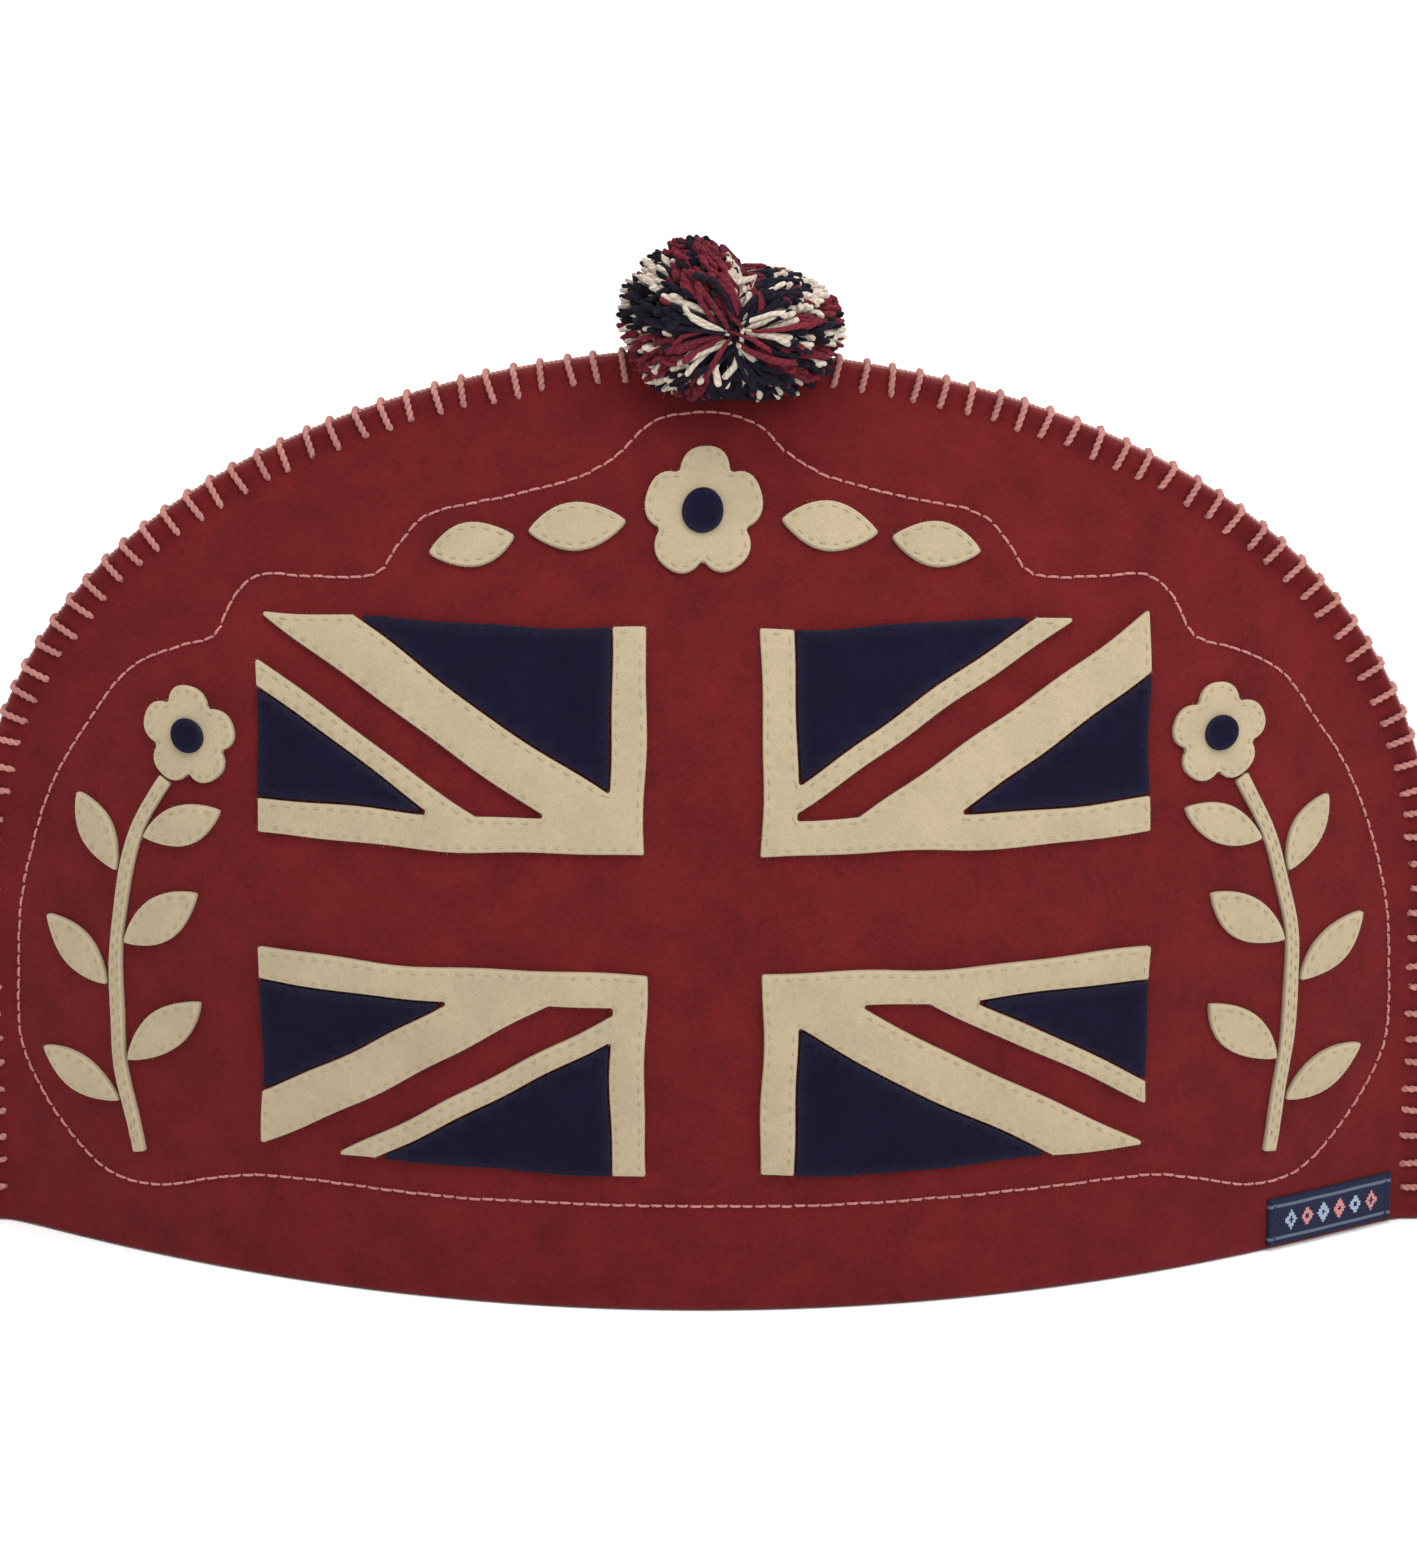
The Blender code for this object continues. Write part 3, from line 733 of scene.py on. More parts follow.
def strands(name, paths, ups, radius, template, turns, seed, taper=None, kinds=None):
    """Many strands of yarn or thread: a template bent along each path, twisted as it goes."""
    points, faces = template
    rng = np.random.default_rng(seed)
    count, level = len(paths), points[:, 2]
    levels, ring = np.unique(np.round(level, 5), return_inverse=True)
    middle, run = smooth_path(paths, levels)
    side = unit(np.cross(np.broadcast_to(ups[:, None], run.shape), run))
    up = np.cross(run, side)
    radius = np.broadcast_to(np.asarray(radius, float), (count,))
    turned = rng.uniform(0, 2 * math.pi, count)[:, None] + turns * 2 * math.pi * level
    across = points[:, 0] * np.cos(turned) - points[:, 1] * np.sin(turned)
    over = points[:, 0] * np.sin(turned) + points[:, 1] * np.cos(turned)
    thick = radius[:, None] * (np.ones_like(level) if taper is None else taper(level))
    placed = middle[:, ring] + side[:, ring] * (across * thick)[..., None]
    placed += up[:, ring] * (over * thick)[..., None]
    far = level * run_lengths(middle)[:, -1:] + rng.uniform(0, 3, count)[:, None]
    straight = np.stack((points[:, 0] * thick, points[:, 1] * thick, far), axis=-1)
    tone = np.repeat(rng.uniform(0, 1, count), len(points))
    return joined(name, placed, faces, {"strand": ("FLOAT_VECTOR", straight),
                                        "tone": ("FLOAT", tone)}, kinds)


# ---------------------------------------------------------------- outlines of the design

def eased(outline, radius):
    """Flat outline with its sharp corners turned into short arcs."""
    made = []
    for index, corner in enumerate(outline):
        here, back = Vector(corner), Vector(outline[index - 1])
        ahead = Vector(outline[(index + 1) % len(outline)])
        first, second = back - here, ahead - here
        angle = first.angle(second)
        if angle > math.radians(150):
            made.append(tuple(here))
            continue
        reach = min(radius / math.tan(angle / 2), first.length * 0.45, second.length * 0.45)
        start, end = here + first.normalized() * reach, here + second.normalized() * reach
        middle = here + (start + end - 2 * here).normalized() * (reach / math.cos(angle / 2))
        swing = math.pi - angle
        for share in (0.0, 0.25, 0.5, 0.75, 1.0):
            near = (start - middle) * math.sin((1 - share) * swing)
            far = (end - middle) * math.sin(share * swing)
            made.append(tuple(middle + (near + far) / math.sin(swing)))
    return made


def resample(outline, spacing):
    """Points round a flat outline, about evenly spaced, with its corners kept."""
    points = np.array(outline, float)
    made = []
    for start, end in zip(points, np.roll(points, -1, axis=0)):
        count = max(1, round(np.linalg.norm(end - start) / spacing))
        made.extend(start + (end - start) * step / count for step in range(count))
    return np.array(made)


def mirrored(outline, side, up=1, middle=0.0):
    """Flat outline on the right (1) or left (-1), and upright (1) or upside down (-1)."""
    return [(side * x, middle + up * z) for x, z in outline]


def diagonal_at(offset, across=None, up=None):
    """Point of the line that runs beside the flag's diagonal, at a given across or up."""
    design = sizes("design")
    half_w, half_h = design.flag_width / 2, design.flag_height / 2
    size = math.hypot(half_w, half_h)
    if up is None:
        return across, (offset * size + half_h * across) / half_w
    return (half_w * up - offset * size) / half_h, up


def flag_quarter(broad_above):
    """Cream outline and two navy outlines of one quarter, measured from the flag's centre."""
    design, at = sizes("design"), diagonal_at
    half_w, half_h = design.flag_width / 2, design.flag_height / 2
    inner, outer = design.cross / 2, design.cross / 2 + design.border
    narrow, broad, bare = design.narrow, design.broad, design.diagonal
    if broad_above:
        top, red_high, red_low, bottom = broad, 0.0, -bare, -bare - narrow
        beyond = [at(red_low, across=half_w), at(red_low, up=outer), at(red_high, up=outer),
                  (half_w, half_h)]
    else:
        top, red_high, red_low, bottom = bare + narrow, bare, 0.0, -broad
        beyond = [(half_w, half_h), at(red_low, up=outer), (outer, outer),
                  at(red_high, across=outer), at(red_high, up=half_h)]
    cream = [(inner, inner), (half_w, inner), (half_w, outer), at(bottom, up=outer),
             at(bottom, across=half_w), *beyond, at(top, up=half_h), at(top, across=outer),
             (outer, half_h), (inner, half_h)]
    clear = outer + design.beside
    above, below = top + design.beside, bottom - design.beside
    return cream, ([at(above, across=clear), at(above, up=half_h), (clear, half_h)],
                   [at(below, up=clear), (half_w, clear), at(below, across=half_w)])


def flag_outlines():
    """Name, colour and outline of each of the flag's pieces."""
    design = sizes("design")
    middle = design.flag_low + design.flag_height / 2
    made = []
    for number, (side, up) in enumerate(((-1, 1), (1, 1), (-1, -1), (1, -1))):
        cream, navy = flag_quarter(broad_above=side != up)
        made.append((f"flag_cream_{number + 1}", "cream", mirrored(cream, side, up, middle)))
        for extra, outline in enumerate(navy, 2 * number + 1):
            made.append((f"flag_navy_{extra}", "navy", mirrored(outline, side, up, middle)))
    return made


def leaf_outline(base, turn, reach, width):
    """Pointed leaf from its base, turned anticlockwise from +X, in radians."""
    shares = np.linspace(0, 1, 15)
    side = [(share * reach, width / 2 * math.sin(math.pi * share) ** 0.85) for share in shares]
    flat = side + [(x, -z) for x, z in reversed(side[1:-1])]
    cos, sin = math.cos(turn), math.sin(turn)
    return [(base[0] + x * cos - z * sin, base[1] + x * sin + z * cos) for x, z in flat]


def flower_outlines(number, centre, radius):
    """Round flower with five notched petals, and the round dot on it."""
    petals = []
    for turn in np.linspace(0, 2 * math.pi, 75, endpoint=False):
        reach = radius * (1 - 0.28 * (1 - abs(math.cos(2.5 * turn))) ** 1.5)
        petals.append((centre[0] + reach * math.sin(turn), centre[1] + reach * math.cos(turn)))
    dot = [(centre[0] + radius * 0.34 * math.cos(turn), centre[1] + radius * 0.34 * math.sin(turn))
           for turn in np.linspace(0, 2 * math.pi, 32, endpoint=False)]
    return [(f"flower_{number}", "cream", petals), (f"flower_centre_{number}", "dot", dot)]


def stem_at(share):
    """Point and direction of the right-hand stem's middle line."""
    start, bend, end = map(Vector, STEM_POINTS)
    point = start * (1 - share) ** 2 + bend * 2 * share * (1 - share) + end * share ** 2
    return point, ((bend - start) * (1 - share) + (end - bend) * share).normalized()


def sprig_outlines():
    """Name, colour and outline of each piece of the sprigs and of the crown motif."""
    design = sizes("design")
    left, right = [], []
    for share in np.linspace(0, 1, 21):
        point, run = stem_at(share)
        across = Vector((-run.y, run.x)) * design.stem / 2
        left.append(tuple(point + across))
        right.append(tuple(point - across))
    leaves = []
    for along, side, reach, width, lean in SPRIG_LEAVES:
        point, run = stem_at(along)
        lean = math.radians(lean)
        turn = math.atan2(run.y, run.x) - side * lean
        stand = (design.stem / 2 + design.beside) / math.sin(lean)
        base = point + Vector((math.cos(turn), math.sin(turn))) * stand
        leaves.append(leaf_outline(base, turn, reach, width))
    end, run = stem_at(1.0)
    flower = end + run * (design.sprig_flower + design.beside)
    made = []
    for number, side in enumerate((1, -1)):
        made.append((f"stem_{number + 1}", "cream", mirrored(right + left[::-1], side)))
        for extra, outline in enumerate(leaves, number * len(leaves) + 1):
            made.append((f"leaf_{extra}", "cream", mirrored(outline, side)))
        made += flower_outlines(number + 1, (side * flower.x, flower.y), design.sprig_flower)
    made += flower_outlines(3, (0.0, CROWN_HEIGHT), design.crown_flower)
    for number, (base, reach, width, turn) in enumerate(CROWN_LEAVES):
        outline = leaf_outline(base, math.radians(turn), reach, width)
        for extra, side in enumerate((1, -1), 2 * number + 1):
            made.append((f"crown_leaf_{extra}", "cream", mirrored(outline, side)))
    return made


def hand_cut(flat):
    """Flat points moved as unsteady scissors and hands leave them, the same for neighbours."""
    x, z = flat[..., 0], flat[..., 1]
    move_x = np.sin(95 * z + 40 * x) + 0.5 * np.sin(210 * z - 120 * x + 1.0)
    move_z = np.sin(88 * x - 35 * z + 2.0) + 0.5 * np.sin(190 * x + 140 * z)
    return flat + sizes("design").wobble * 0.7 * np.stack((move_x, move_z), axis=-1)


def cut_edge(outline, spacing):
    """Hand-cut points round an outline, and the way inwards at each."""
    points = hand_cut(resample(outline, spacing))
    after = np.roll(points, -1, axis=0)
    area = np.sum(points[:, 0] * after[:, 1] - after[:, 0] * points[:, 1])
    run = unit(after - np.roll(points, 1, axis=0))
    return points, quarter_turn(run) * math.copysign(1, area)


def sewing_stitches(outline, inset):
    """Flat start and end of each small stitch inside an outline."""
    stitching, fine = sizes("stitching"), 0.0004
    points, inward = cut_edge(outline, fine)
    inner = points + inward * inset
    # No stitch where the line would come too near another edge, as at a leaf's tip
    good = nearest(inner, points)[1] > inset * 0.9
    step = max(2, round(stitching.sew_pitch / fine))
    reach = max(1, round(stitching.sew_leg / fine))
    firsts = [first for first in range(0, len(inner) - step, step)
              if good[first:first + reach + 1].all()]
    return [inner[first] for first in firsts], [inner[first + reach] for first in firsts]


# ---------------------------------------------------------------- pieces

def panel_sheet(name, side, ring_gap):
    """Thick felt half-moon laid out as rings of the seam's shape, drawn in to a spine."""
    shape = sizes("shape")
    table = seam_table()
    along = run_lengths(ring_point(*table))
    regular = round(along[-1] / (sizes("stitching").pitch / 4))
    near = np.array(HEM_STATIONS)
    at = np.unique(np.concatenate((np.linspace(0, along[-1], regular + 1), near, along[-1] - near)))
    stations = np.stack([np.interp(at, along, values) for values in table], axis=-1)
    count = round((shape.half_width - PANEL_RINGS[-1]) / ring_gap)
    insets = [*PANEL_RINGS, *np.linspace(PANEL_RINGS[-1], shape.half_width, count + 1)[1:]]
    bm = bmesh.new()
    columns, rows = len(at) - 1, len(insets) - 1
    bmesh.ops.create_grid(bm, x_segments=columns, y_segments=rows, size=0.5)
    inset_layer = bm.verts.layers.float.new("inset")
    for vert in bm.verts:
        inset = insets[round((vert.co.y + 0.5) * rows)]
        x, z = ring_point(*stations[round((vert.co.x + 0.5) * columns)], inset)
        vert[inset_layer] = inset
        vert.co = (x, 0.0, z)
    bmesh.ops.remove_doubles(bm, verts=bm.verts[:], dist=0.000002)
    flat = flat_of(bm.verts)
    inset = np.array([vert[inset_layer] for vert in bm.verts])
    from_hem = flat[:, 1]
    half = FELT / 2 * cut_profile(inset, shape.edge_round) * cut_profile(from_hem, shape.edge_round)
    lift = swell(flat, side)
    outer, inner, _ = seam_legs()
    legs = np.concatenate([outer + (inner - outer) * share for share in np.linspace(0, 1, 9)])
    edge = inset < 0.012
    press = np.zeros(len(flat))
    press[edge] = dent(nearest(flat[edge], legs)[1], depth=0.00042, width=0.0013)
    if side == FRONT:
        press += dent(nearest(flat, echo_path(spacing=0.0012))[1], depth=0.00040, width=0.0021)
    cut = 1 - np.clip(np.minimum(inset, from_hem) / 0.0012, 0, 1)
    thicken(bm, FELT / 2 - half + lift, FELT / 2 + half + lift - press, side, cut)
    return new_object(name, bm)


def cut_sheet(name, outline, layer, cell, stitches):
    """Cut felt piece with rounded edges, pillowed between its stitches, laid on the front."""
    design = sizes("design")
    bm = bmesh.new()
    bm.faces.new([bm.verts.new((x, 0.0, z)) for x, z in outline])
    long_edges = [edge for edge in bm.edges if edge.calc_length() > 0.006]
    bmesh.ops.subdivide_edges(bm, edges=long_edges, cuts=3)
    for width in RIM_STEPS:
        inner = [face for face in bm.faces if len(face.verts) > 4 or len(bm.faces) == 1]
        bmesh.ops.inset_region(bm, faces=inner, thickness=width, use_even_offset=True,
                               use_boundary=True)
    for axis in (Vector((1, 0, 0)), Vector((0, 0, 1))):
        reach = [vert.co.dot(axis) for vert in bm.verts]
        low, size = min(reach), max(reach) - min(reach)
        lines = math.ceil(size / cell)
        for line in range(1, lines):
            everything = bm.verts[:] + bm.edges[:] + bm.faces[:]
            bmesh.ops.bisect_plane(bm, geom=everything, dist=0.00002,
                                   plane_co=axis * (low + size * line / lines), plane_no=axis)
    bmesh.ops.triangulate(bm, faces=[face for face in bm.faces if len(face.verts) > 4])
    flat = flat_of(bm.verts)
    inset = np.minimum(nearest(flat, resample(outline, 0.00015))[1], 0.02)
    inset[[vert.is_boundary for vert in bm.verts]] = 0.0
    flat = hand_cut(flat)
    move_to(bm.verts, stood_up(flat))
    # Felt puffs up off its edge, stitches draw it down, and its underside sinks in a little
    base = FELT + layer * (design.felt + design.rise) + swell(flat, FRONT)
    full = cut_profile(inset, size=0.0006, rim=0.42)
    puff = 0.00014 * (1 - np.exp(-inset / 0.003))
    top = base + design.rise + design.felt * full - SEWN_IN + puff
    if stitches:
        top -= dent(nearest(flat, stitches)[1], depth=0.00022, width=0.0009)
    low = base - 0.0002 - 0.00006 * full
    thicken(bm, low, top, FRONT, 1 - np.clip(inset / 0.0008, 0, 1))
    return new_object(name, bm)


def sew(name, starts, ends, dip, crest, base, radius, template, turns, seed):
    """Small stitches on the front that dive into the felt at both ends."""
    # Shares of the way along a stitch, and its heights there
    shares = np.array((0.0, 0.06, 0.25, 0.5, 0.75, 0.94, 1.0))
    heights = np.array((-dip, 0.1 * crest, crest, 1.1 * crest, crest, 0.1 * crest, -dip))
    starts, ends = np.array(starts), np.array(ends)
    flat = starts[:, None] + (ends - starts)[:, None] * shares[None, :, None]
    lift = np.asarray(base).reshape(-1, 1) + heights[None] + swell(flat, FRONT)
    paths, out = wall(flat, FRONT, lift)
    return strands(name, paths, out[:, 3], radius, template, turns, seed)


def thread_template():
    """Fine two-ply strand for sewing thread."""
    return strand_template(sides=5, levels=7, depth=0.1)


def hair_template():
    """Plain three-sided strand for single fibres."""
    return strand_template(sides=3, levels=3, plies=1, depth=0.0)


def felt_hairs(name, flat, side, lift, reach, radius, slot, material, outward=None):
    """Single wool fibres that lie loosely on felt, or stand out of a cut edge."""
    rng = np.random.default_rng(len(flat))
    count = len(flat)
    turn = rng.uniform(0, 2 * math.pi, count)
    way = np.stack((np.cos(turn), np.sin(turn)), axis=-1)
    if outward is not None:
        way = outward + way * 0.8
    size = reach * rng.uniform(0.5, 1.4, (count, 1))
    bent = quarter_turn(way) * size * rng.uniform(-0.35, 0.35, (count, 1))
    rows, loft, off_table = [], 0.00022, 0.0004
    # Share of the way along each hair, and share of its loft there
    for share, height in ((0.0, -0.4), (0.3, 0.7), (0.65, 0.9), (1.0, 0.2)):
        place = flat + way * size * share + bent * (4 * share * (1 - share))
        place[:, 1] = np.maximum(place[:, 1], off_table)
        level = lift + swell(place, side) + loft * height * rng.uniform(0.5, 1.3, count)
        rows.append(wall(place, side, level)[0])
    ups = np.tile((0.0, float(side), 0.0), (count, 1))
    made = strands(name, np.stack(rows, axis=1), ups, radius, hair_template(), turns=0.0, seed=51)
    finish_piece(made, slot, [material])


class COSY_OT_felt_panels(Operator):
    """Cut the two thick half-moon felts and stand them up"""
    bl_idname = "cosy.felt_panels"
    bl_label = "Felt Half-Moons"

    def execute(self, context):
        for name, side, ring_gap, replaced in (("front_felt", FRONT, 0.0025, "front_panel"),
                                               ("back_felt", BACK, 0.0040, "back_panel")):
            finish_piece(panel_sheet(name, side, ring_gap), "red_felt", [felt("red")], replaced)
        return {"FINISHED"}


class COSY_OT_felt_hairs(Operator):
    """Raise single wool fibres on the red felt and along its seam"""
    bl_idname = "cosy.felt_hairs"
    bl_label = "Felt Hairs"

    def execute(self, context):
        shape = sizes("shape")
        # The fibres take the red felt's colour made 2.1 times lighter: painted light against the
        # shade on and under the thin hairs.
        fibres = yarn("red_fibres", sizes("colours").red, contrast=0.4, share=2.1)
        rng = np.random.default_rng(61)
        for name, side, count in (("felt_hairs_front", FRONT, 2800),
                                  ("felt_hairs_back", BACK, 1400)):
            low, high = (-shape.half_width, 0.003), (shape.half_width, shape.height)
            flat = rng.uniform(low, high, (count * 2, 2))
            flat = flat[ring_at(flat[:, 0], flat[:, 1]) < 0.96][:count]
            felt_hairs(name, flat, side, lift=FELT, reach=0.0024, radius=0.00003,
                       slot="red_felt", material=fibres)
        total = seam_length()
        for name, side in (("seam_hairs_front", FRONT), ("seam_hairs_back", BACK)):
            edge, inward = seam_edge(rng.uniform(0.002, total - 0.002, 700))
            felt_hairs(name, edge + inward * 0.0003, side, lift=FELT * 0.7, reach=0.0006,
                       radius=0.000025, slot="red_felt", material=fibres, outward=-inward)
        return {"FINISHED"}


def add_cut_pieces(rows, cell):
    """Make each cut piece, then the wool off their edges and their small sewing stitches."""
    design, stitching, colours = sizes("design"), sizes("stitching"), sizes("colours")
    sewn = {"cream": [], "navy": []}
    rims = {"cream": [], "navy": []}
    for name, kind, outline in rows:
        layer, thread = (1, "navy") if kind == "dot" else (0, kind)
        narrow = kind == "dot" or name.startswith("stem")
        outline = eased(outline, CORNER)
        starts, ends = sewing_stitches(outline, stitching.sew_inset * (0.8 if narrow else 1.0))
        made = cut_sheet(f"cut_{name}", outline, layer, cell, starts + ends)
        finish_piece(made, f"{thread}_felt", [felt(thread)], name)
        top = FELT + (layer + 1) * (design.felt + design.rise) - SEWN_IN
        sewn[thread] += [(start, end, top) for start, end in zip(starts, ends)]
        rim, inward = cut_edge(outline, spacing=0.0010)
        rims[thread].append(np.concatenate((rim, -inward, np.full((len(rim), 1), top)), axis=1))
    for thread, found in rims.items():
        rim = np.concatenate(found)
        # The fibres take their felt's colour made 1.35 times lighter: painted light against the
        # shade on the thin hairs.
        fibres = yarn(f"{thread}_fibres", getattr(colours, thread), contrast=0.25, share=1.35)
        felt_hairs(f"{thread}_hairs_{len(rows)}", rim[:, :2], FRONT, lift=rim[:, 4] - 0.0005,
                   reach=0.00032, radius=0.00002, slot=f"{thread}_felt", material=fibres,
                   outward=rim[:, 2:4])
    for thread, share in (("cream", 1.12), ("navy", 1.9)):
        starts, ends, tops = zip(*sewn[thread])
        radius = stitching.sew_thread
        made = sew(f"sewing_{thread}_{len(rows)}", starts, ends, dip=0.0004, crest=radius * 0.5,
                   base=tops, radius=radius, template=thread_template(), turns=1.0, seed=5)
        spun = yarn(f"{thread}_thread", getattr(colours, thread), contrast=0.15, share=share)
        finish_piece(made, f"{thread}_felt", [spun])


class COSY_OT_flag(Operator):
    """Lay the flag's cream and navy felt pieces on the front"""
    bl_idname = "cosy.flag"
    bl_label = "Flag"

    def execute(self, context):
        add_cut_pieces(flag_outlines(), 0.0032)
        return {"FINISHED"}


class COSY_OT_sprigs(Operator):
    """Lay the leaf sprigs, flowers and crown leaves on the front"""
    bl_idname = "cosy.sprigs"
    bl_label = "Sprigs and Flowers"

    def execute(self, context):
        add_cut_pieces(sprig_outlines(), 0.0026)
        return {"FINISHED"}


class COSY_OT_echo_line(Operator):
    """Sew the pink line of running stitches round the design"""
    bl_idname = "cosy.echo_line"
    bl_label = "Line Round the Design"

    def execute(self, context):
        stitching = sizes("stitching")
        rng = np.random.default_rng(11)
        starts = echo_path(stitching.echo_pitch)
        run = unit(np.roll(starts, -1, axis=0) - starts)
        reach = stitching.echo_leg + rng.uniform(-0.0002, 0.0002, len(starts))
        starts = starts + rng.uniform(-0.00012, 0.00012, starts.shape)
        radius = stitching.echo_thread
        made = sew("echo_line", starts, starts + run * reach[:, None], dip=0.0010,
                   crest=radius * 0.6, base=FELT - 0.0003, radius=radius,
                   template=strand_template(6, 11), turns=2.2, seed=12)
        finish_piece(made, "red_felt", [yarn("pink_thread", sizes("colours").pink, 0.15)])
        return {"FINISHED"}


def seam_yarn_paths(side):
    """Course of each seam stitch, from the seam's middle over the edge and into the felt."""
    radius = sizes("stitching").yarn
    outer, inner, inward = seam_legs()
    reach = np.linalg.norm(inner - outer, axis=1, keepdims=True)
    run = (inner - outer) / reach
    rows = []
    # Distance inwards, share of the stitch inwards, and height above the felt's inner face
    for near, share, height in (
            (-radius * 0.55, 0, -GAP / 2), (-radius * 0.75, 0, 0.0012),
            (-radius * 0.2, 0, FELT + radius * 0.1), (0.0016, 0, FELT + radius * 0.45),
            (0, 0.5, FELT + radius * 0.5), (0, 0.86, FELT + radius * 0.3),
            (0, 1.0, FELT - radius * 0.9), (0, 1.02, FELT - radius * 2.4)):
        away = near + share * reach
        inside = outer + run * np.maximum(away, 0.0)
        rows.append(wall(inside, side, height)[0] + stood_up(outer + run * away - inside))
    return np.stack(rows, axis=1), stood_up(inward * -0.6, float(side))


class COSY_OT_seam_stitches(Operator):
    """Oversew the seam with twisted yarn, front and back"""
    bl_idname = "cosy.seam_stitches"
    bl_label = "Seam Stitches"

    def execute(self, context):
        radius = sizes("stitching").yarn
        material = yarn("salmon_yarn", sizes("colours").salmon, contrast=0.2)
        template = strand_template(sides=8, levels=27, depth=0.2)
        for name, side in (("seam_stitches_front", FRONT), ("seam_stitches_back", BACK)):
            paths, ups = seam_yarn_paths(side)
            made = strands(name, paths, ups, radius, template, turns=3.2, seed=21 + side)
            finish_piece(made, "red_felt", [material])
        # The yarn's run along the ridge, in lengths of five points that share their ends
        spacing = 0.004
        edge, inward = seam_edge(np.arange(0.0, seam_length() - spacing, spacing) + spacing / 2)
        line = stood_up(edge + inward * (radius * 0.1))
        line[:, 2] = np.maximum(line[:, 2], radius * 1.3)
        paths = np.stack([line[first:first + 5] for first in range(0, len(line) - 4, 4)])
        ups = np.tile((0.0, -1.0, 0.0), (len(paths), 1))
        template = strand_template(sides=6, levels=41, depth=0.2)
        made = strands("seam_ridge", paths, ups, radius * 0.8, template, turns=6.0, seed=27)
        finish_piece(made, "red_felt", [material])
        return {"FINISHED"}


class COSY_OT_woven_tab(Operator):
    """Sew the woven tab on the front, above the hem at the right"""
    bl_idname = "cosy.woven_tab"
    bl_label = "Woven Tab"

    def execute(self, context):
        colours = sizes("colours")
        left, right, low, high = TAB_LOW.x, TAB_HIGH.x, TAB_LOW.z, TAB_HIGH.z
        width, height = right - left, high - low
        sewn = 0.0017  # from each end of the tab to its line of sewing
        bm = bmesh.new()
        bmesh.ops.create_grid(bm, x_segments=72, y_segments=26, size=0.5, calc_uvs=True)
        for vert in bm.verts:
            vert.co = (left + (vert.co.x + 0.5) * width, 0.0, low + (vert.co.y + 0.5) * height)
        uv = bm.loops.layers.uv.verify()
        for face in bm.faces:
            for loop in face.loops:
                x, _, z = loop.vert.co
                loop[uv].uv = ((x - left) / width, (z - low) / height)
        flat = flat_of(bm.verts)
        across = np.minimum(flat[:, 0] - left, right - flat[:, 0])
        up = np.minimum(flat[:, 1] - low, high - flat[:, 1])
        full = cut_profile(across, size=0.0005, rim=0.35) * cut_profile(up, size=0.00035)
        fold = dent(across - 0.0006, depth=0.00022, width=0.0009)
        press = dent(across - sewn, depth=0.00028, width=0.0006)
        ripple = 0.0001 * np.sin(flat[:, 0] * 520) * np.cos(flat[:, 1] * 300)
        top = FELT + 0.00035 + 0.0009 * full + fold - press + ripple
        thicken(bm, np.full(len(flat), FELT - 0.0001), top, FRONT, np.zeros(len(flat)))
        woven = ribbon("navy_ribbon_cloth", colours.ribbon, colours.ribbon_pale,
                       colours.ribbon_rose)
        finish_piece(new_object("woven_tab", bm), "navy_ribbon", [woven], "tab")
        pitch, leg = 0.0021, 0.0015
        starts = [(x, z) for x in (left + sewn, right - sewn)
                  for z in np.arange(low + 0.0012, high - 0.0020, pitch)]
        made = sew("tab_sewing", starts, [(x, z + leg) for x, z in starts], dip=0.0005,
                   crest=0.00008, base=FELT + 0.0011, radius=0.0002,
                   template=thread_template(), turns=1.0, seed=31)
        finish_piece(made, "navy_ribbon", [yarn("tab_thread", colours.ribbon, 0.15, share=2.6)])
        return {"FINISHED"}


def pompom_reach(direction):
    """How far the yarn reaches from the pompom's centre in each direction."""
    pompom = sizes("pompom")
    x, z = direction[..., 0], direction[..., 2]
    reach = 1 / np.linalg.norm(direction / np.array(pompom.radii), axis=-1)
    upward = np.clip(z, 0, None)
    beside = (x - pompom.cleft_place) / pompom.cleft_width
    cleft = pompom.cleft * upward * np.exp(-beside * beside)
    lean = pompom.lean * upward * -np.sign(beside) * np.minimum(1.0, np.abs(beside) / 2)
    corner = 4 * (x * z) ** 2
    # The left lobe keeps its full shoulder
    corner *= np.where((z > 0) & (x < 0), 0.25, 1.0)
    settled = pompom.settled * corner * -np.sign(z)
    return reach * (1 - cleft + lean + settled) - pompom.yarn / 2


def clear_of_felt(points, room):
    """Whether all points of each strand stay off the seam and both felts."""
    x, z = points[..., 0], points[..., 2]
    beside = np.abs(points[..., 1]) > GAP / 2 + FELT + bow_at(x, z) * 1.15 + room
    return ((z > sizes("shape").height + room * 0.6) | beside).all(axis=1)


def bunch_of(turn, rng):
    """Yarn of each strand from its turn round the tie, mostly in bunches of one yarn."""
    rows = np.array([(*row, kind) for kind, found in enumerate(BUNCHES.values()) for row in found],
                    float)
    away = np.abs((turn[:, None] - rows[None, :, 0] + 180) % 360 - 180) / rows[None, :, 1]
    kind = rows[np.argmin(away, axis=1), 2].astype(int)
    stray = rng.uniform(0, 1, len(turn))
    kind[stray < 0.08] = NAVY
    kind[stray < 0.04] = BURGUNDY
    return kind


def fluffed(level):
    """Thickness of a pompom strand along it: thin at the tie and round at its cut end."""
    return np.interp(level, (0.0, 0.3, 0.75, 0.93, 0.985), (0.5, 0.8, 0.95, 1.0, 0.66))


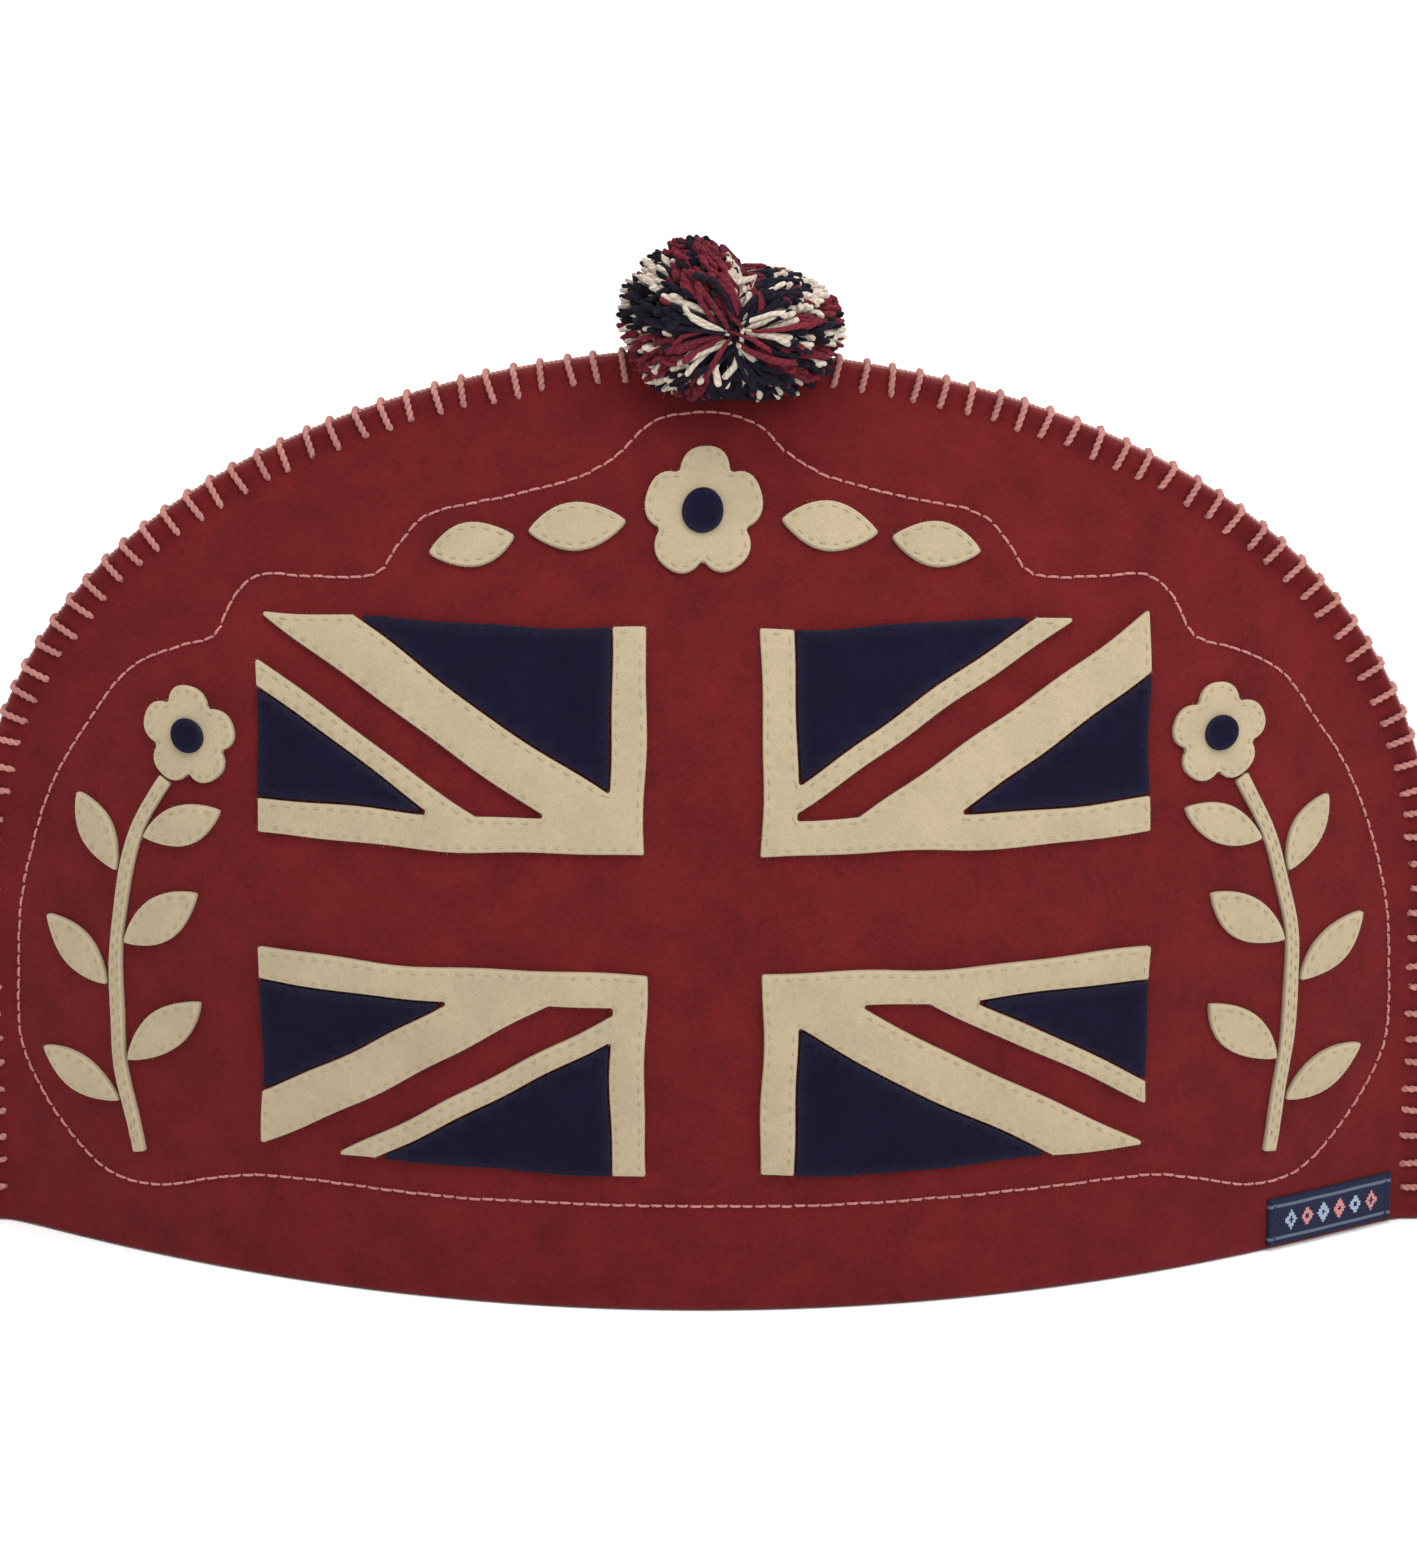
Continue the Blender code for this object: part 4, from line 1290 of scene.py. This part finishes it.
class COSY_OT_pompom(Operator):
    """Tie the pompom on the crown of the seam"""
    bl_idname = "cosy.pompom"
    bl_label = "Pompom"

    def execute(self, context):
        pompom, colours = sizes("pompom"), sizes("colours")
        rng = np.random.default_rng(pompom.seed)
        count, centre = pompom.strands, np.array(pompom.centre)
        # Evenly spread directions, each moved a little
        order = np.arange(count) + 0.5
        level = (1 - 2 * order / count) * pompom.fan
        around = math.pi * (1 + 5 ** 0.5) * order
        flat = np.sqrt(1 - level ** 2)
        direction = np.stack((flat * np.cos(around), level, flat * np.sin(around)), axis=-1)
        direction = unit(direction + rng.normal(0, 0.06, direction.shape))
        reach = pompom_reach(direction) * (1 + pompom.ragged * rng.uniform(-1.7, 0.6, count))
        tips = centre + direction * reach[:, None]
        # The tie lies along Y, so yarn fans out from a short line through the middle
        roots = centre + rng.normal(0, 0.0013, (count, 3))
        roots[:, 1] += direction[:, 1] / pompom.fan * pompom.radii[1] * 0.62
        bow = np.cross(direction, rng.normal(0, 1, (count, 3)))
        swing = rng.uniform(0.0003, 0.0028, count)[:, None]
        middle = roots + (tips - roots) * 0.5 + bow * swing
        outer = roots + (tips - roots) * 0.8 + bow * swing * 0.8
        paths = np.stack((roots, middle, outer, tips), axis=1)
        # A strand that would run into the felt is cut shorter, or left out
        best = np.zeros(count)
        for share in np.linspace(1.0, 0.2, 17):
            short = roots[:, None] + (paths - roots[:, None]) * share
            points = curve_at(short, np.tile(np.linspace(0.25, 1, 7), (count, 1)))[0]
            best = np.where((best == 0) & clear_of_felt(points, pompom.yarn), share, best)
        kept = best > 0.35
        paths = roots[:, None] + (paths - roots[:, None]) * best[:, None, None]
        turn = np.degrees(np.arctan2(direction[:, 2], direction[:, 0]))
        # Bunches at the back are turned on from those at the front, and every strand strays
        turn += np.where(direction[:, 1] > 0.3, 55.0, 0.0) + rng.normal(0, 2.6, count)
        kinds = bunch_of(turn % 360, rng)
        # Pale ends are left over round both sides
        sideways = (np.abs(direction[:, 1]) < 0.55) & (np.abs(direction[:, 0]) > 0.6)
        kinds[sideways & (rng.uniform(0, 1, count) < 0.16)] = CREAM
        radius = pompom.yarn * rng.uniform(0.8, 1.2, count)
        template = strand_template(sides=6, levels=(0.0, 0.35, 0.7, 0.93, 0.985), depth=0.10)
        ups = np.tile((0.13, 0.71, 0.69), (count, 1))
        materials = [yarn(name, base, contrast, winding=1700.0) for name, base, contrast in (
            ("burgundy_yarn", colours.burgundy, 0.46), ("navy_yarn", colours.night, 0.46),
            ("pale_yarn", colours.pale, 0.3))]
        made = strands("pompom_yarn", paths[kept], ups[kept], radius[kept], template, turns=0.4,
                       seed=41, taper=fluffed, kinds=kinds[kept])
        finish_piece(made, "mixed_yarn", materials, "pompom")
        # Single hairs that stand out of the cut ends
        rows = rng.choice(np.flatnonzero(kept), 700)
        ends, way = paths[rows, 3], direction[rows]
        spread = rng.normal(0, 0.0005, (len(rows), 3))
        hairs = np.stack((ends - way * 0.0015 + spread, ends + spread * 1.6,
                          ends + way * 0.0004 + spread * 2.4), axis=1)
        clear = clear_of_felt(hairs, 0.0002)
        made = strands("pompom_hairs", hairs[clear], ups[rows][clear], 0.000025, hair_template(),
                       turns=0.0, seed=43, kinds=kinds[rows][clear])
        finish_piece(made, "mixed_yarn", materials)
        return {"FINISHED"}


def aim(made, place, point):
    """Put a light or the camera at its place and turn it to a point."""
    made.location = place
    made.rotation_euler = (Vector(point) - Vector(place)).to_track_quat("-Z", "Y").to_euler()


class COSY_OT_stage(Operator):
    """Set the floor, the soft lights and the camera"""
    bl_idname = "cosy.stage"
    bl_label = "Stage"

    def execute(self, context):
        stage, scene = sizes("stage"), context.scene
        bm = bmesh.new()
        bmesh.ops.create_grid(bm, x_segments=8, y_segments=8, size=9.0)
        bmesh.ops.translate(bm, verts=bm.verts[:], vec=(0.0, 0.0, -0.0003))
        floor = new_object("floor", bm)
        material, tree, shader = new_material("pale_floor")
        cloud = noise(tree, wire(tree, "ShaderNodeTexCoord", output="Object"), 3.0, 2.0)
        feed(shader, {"Base Color": mixed(tree, cloud, shade_of(stage.floor, 0.995),
                                          shade_of(stage.floor, 1.005)),
                      "Roughness": 0.9, "Specular IOR Level": 0.1})
        floor.data.materials.append(material)
        scene.world = bpy.data.worlds.new("studio")
        scene.world.use_nodes = True
        feed(scene.world.node_tree.nodes["Background"], {
            "Color": (1.0, 1.0, 1.0, 1.0), "Strength": stage.sky})
        for name, (place, height, size, power) in LIGHTS.items():
            light = bpy.data.lights.new(name, "AREA")
            light.shape, light.size, light.energy = "DISK", size, getattr(stage, power)
            aim(new_object(name, light), place, (0.0, 0.0, height))
        camera = bpy.data.cameras.new("camera")
        camera.sensor_width, camera.lens = 36.0, stage.lens
        camera.clip_start, camera.clip_end = 0.05, 60.0
        scene.camera = new_object("camera", camera)
        back, rise = math.cos(stage.tilt), math.sin(stage.tilt)
        place = (0.0, -stage.distance * back, 0.11 + stage.distance * rise)
        aim(scene.camera, place, (0.0013, 0.0, 0.1241))
        scene.view_settings.view_transform = "Standard"
        return {"FINISHED"}


OPERATORS = (
    COSY_OT_felt_panels, COSY_OT_felt_hairs, COSY_OT_flag, COSY_OT_sprigs, COSY_OT_echo_line,
    COSY_OT_seam_stitches, COSY_OT_woven_tab, COSY_OT_pompom, COSY_OT_stage,
)


class COSY_PT_tools(Panel):
    """Sidebar tab with the cosy's sizes and steps"""
    bl_label = "Tea Cosy"
    bl_space_type = "VIEW_3D"
    bl_region_type = "UI"
    bl_category = "Tea Cosy"

    def draw(self, context):
        for operator in OPERATORS:
            self.layout.operator(operator.bl_idname)
        for name, group in GROUPS.items():
            box = self.layout.box()
            box.label(text=group.__doc__)
            for key in group.__annotations__:
                box.prop(getattr(context.scene, name), key)


def register():
    """Register the sizes, the steps and the sidebar tab."""
    for group in (*GROUPS.values(), *OPERATORS, COSY_PT_tools):
        bpy.utils.register_class(group)
    for name, group in GROUPS.items():
        setattr(bpy.types.Scene, name, PointerProperty(type=group))


def unregister():
    """Take back what register added."""
    for name in GROUPS:
        delattr(bpy.types.Scene, name)
    for group in (COSY_PT_tools, *reversed(OPERATORS), *GROUPS.values()):
        bpy.utils.unregister_class(group)


def declare_cloth():
    """Gather the names of the trims laid on the felts; the list is not used."""
    trims = [made.name for made in bpy.data.objects
             if made.name.startswith(("cut_", "sewing_", "echo_", "seam_", "woven_", "tab_sewing",
                                      "felt_hairs_front", "cream_hairs", "navy_hairs"))]


def main():
    """Dress the whole cosy."""
    register()
    for operator in OPERATORS:
        group, name = operator.bl_idname.split(".")
        getattr(getattr(bpy.ops, group), name)()
    declare_cloth()


if __name__ == "__main__":
    main()
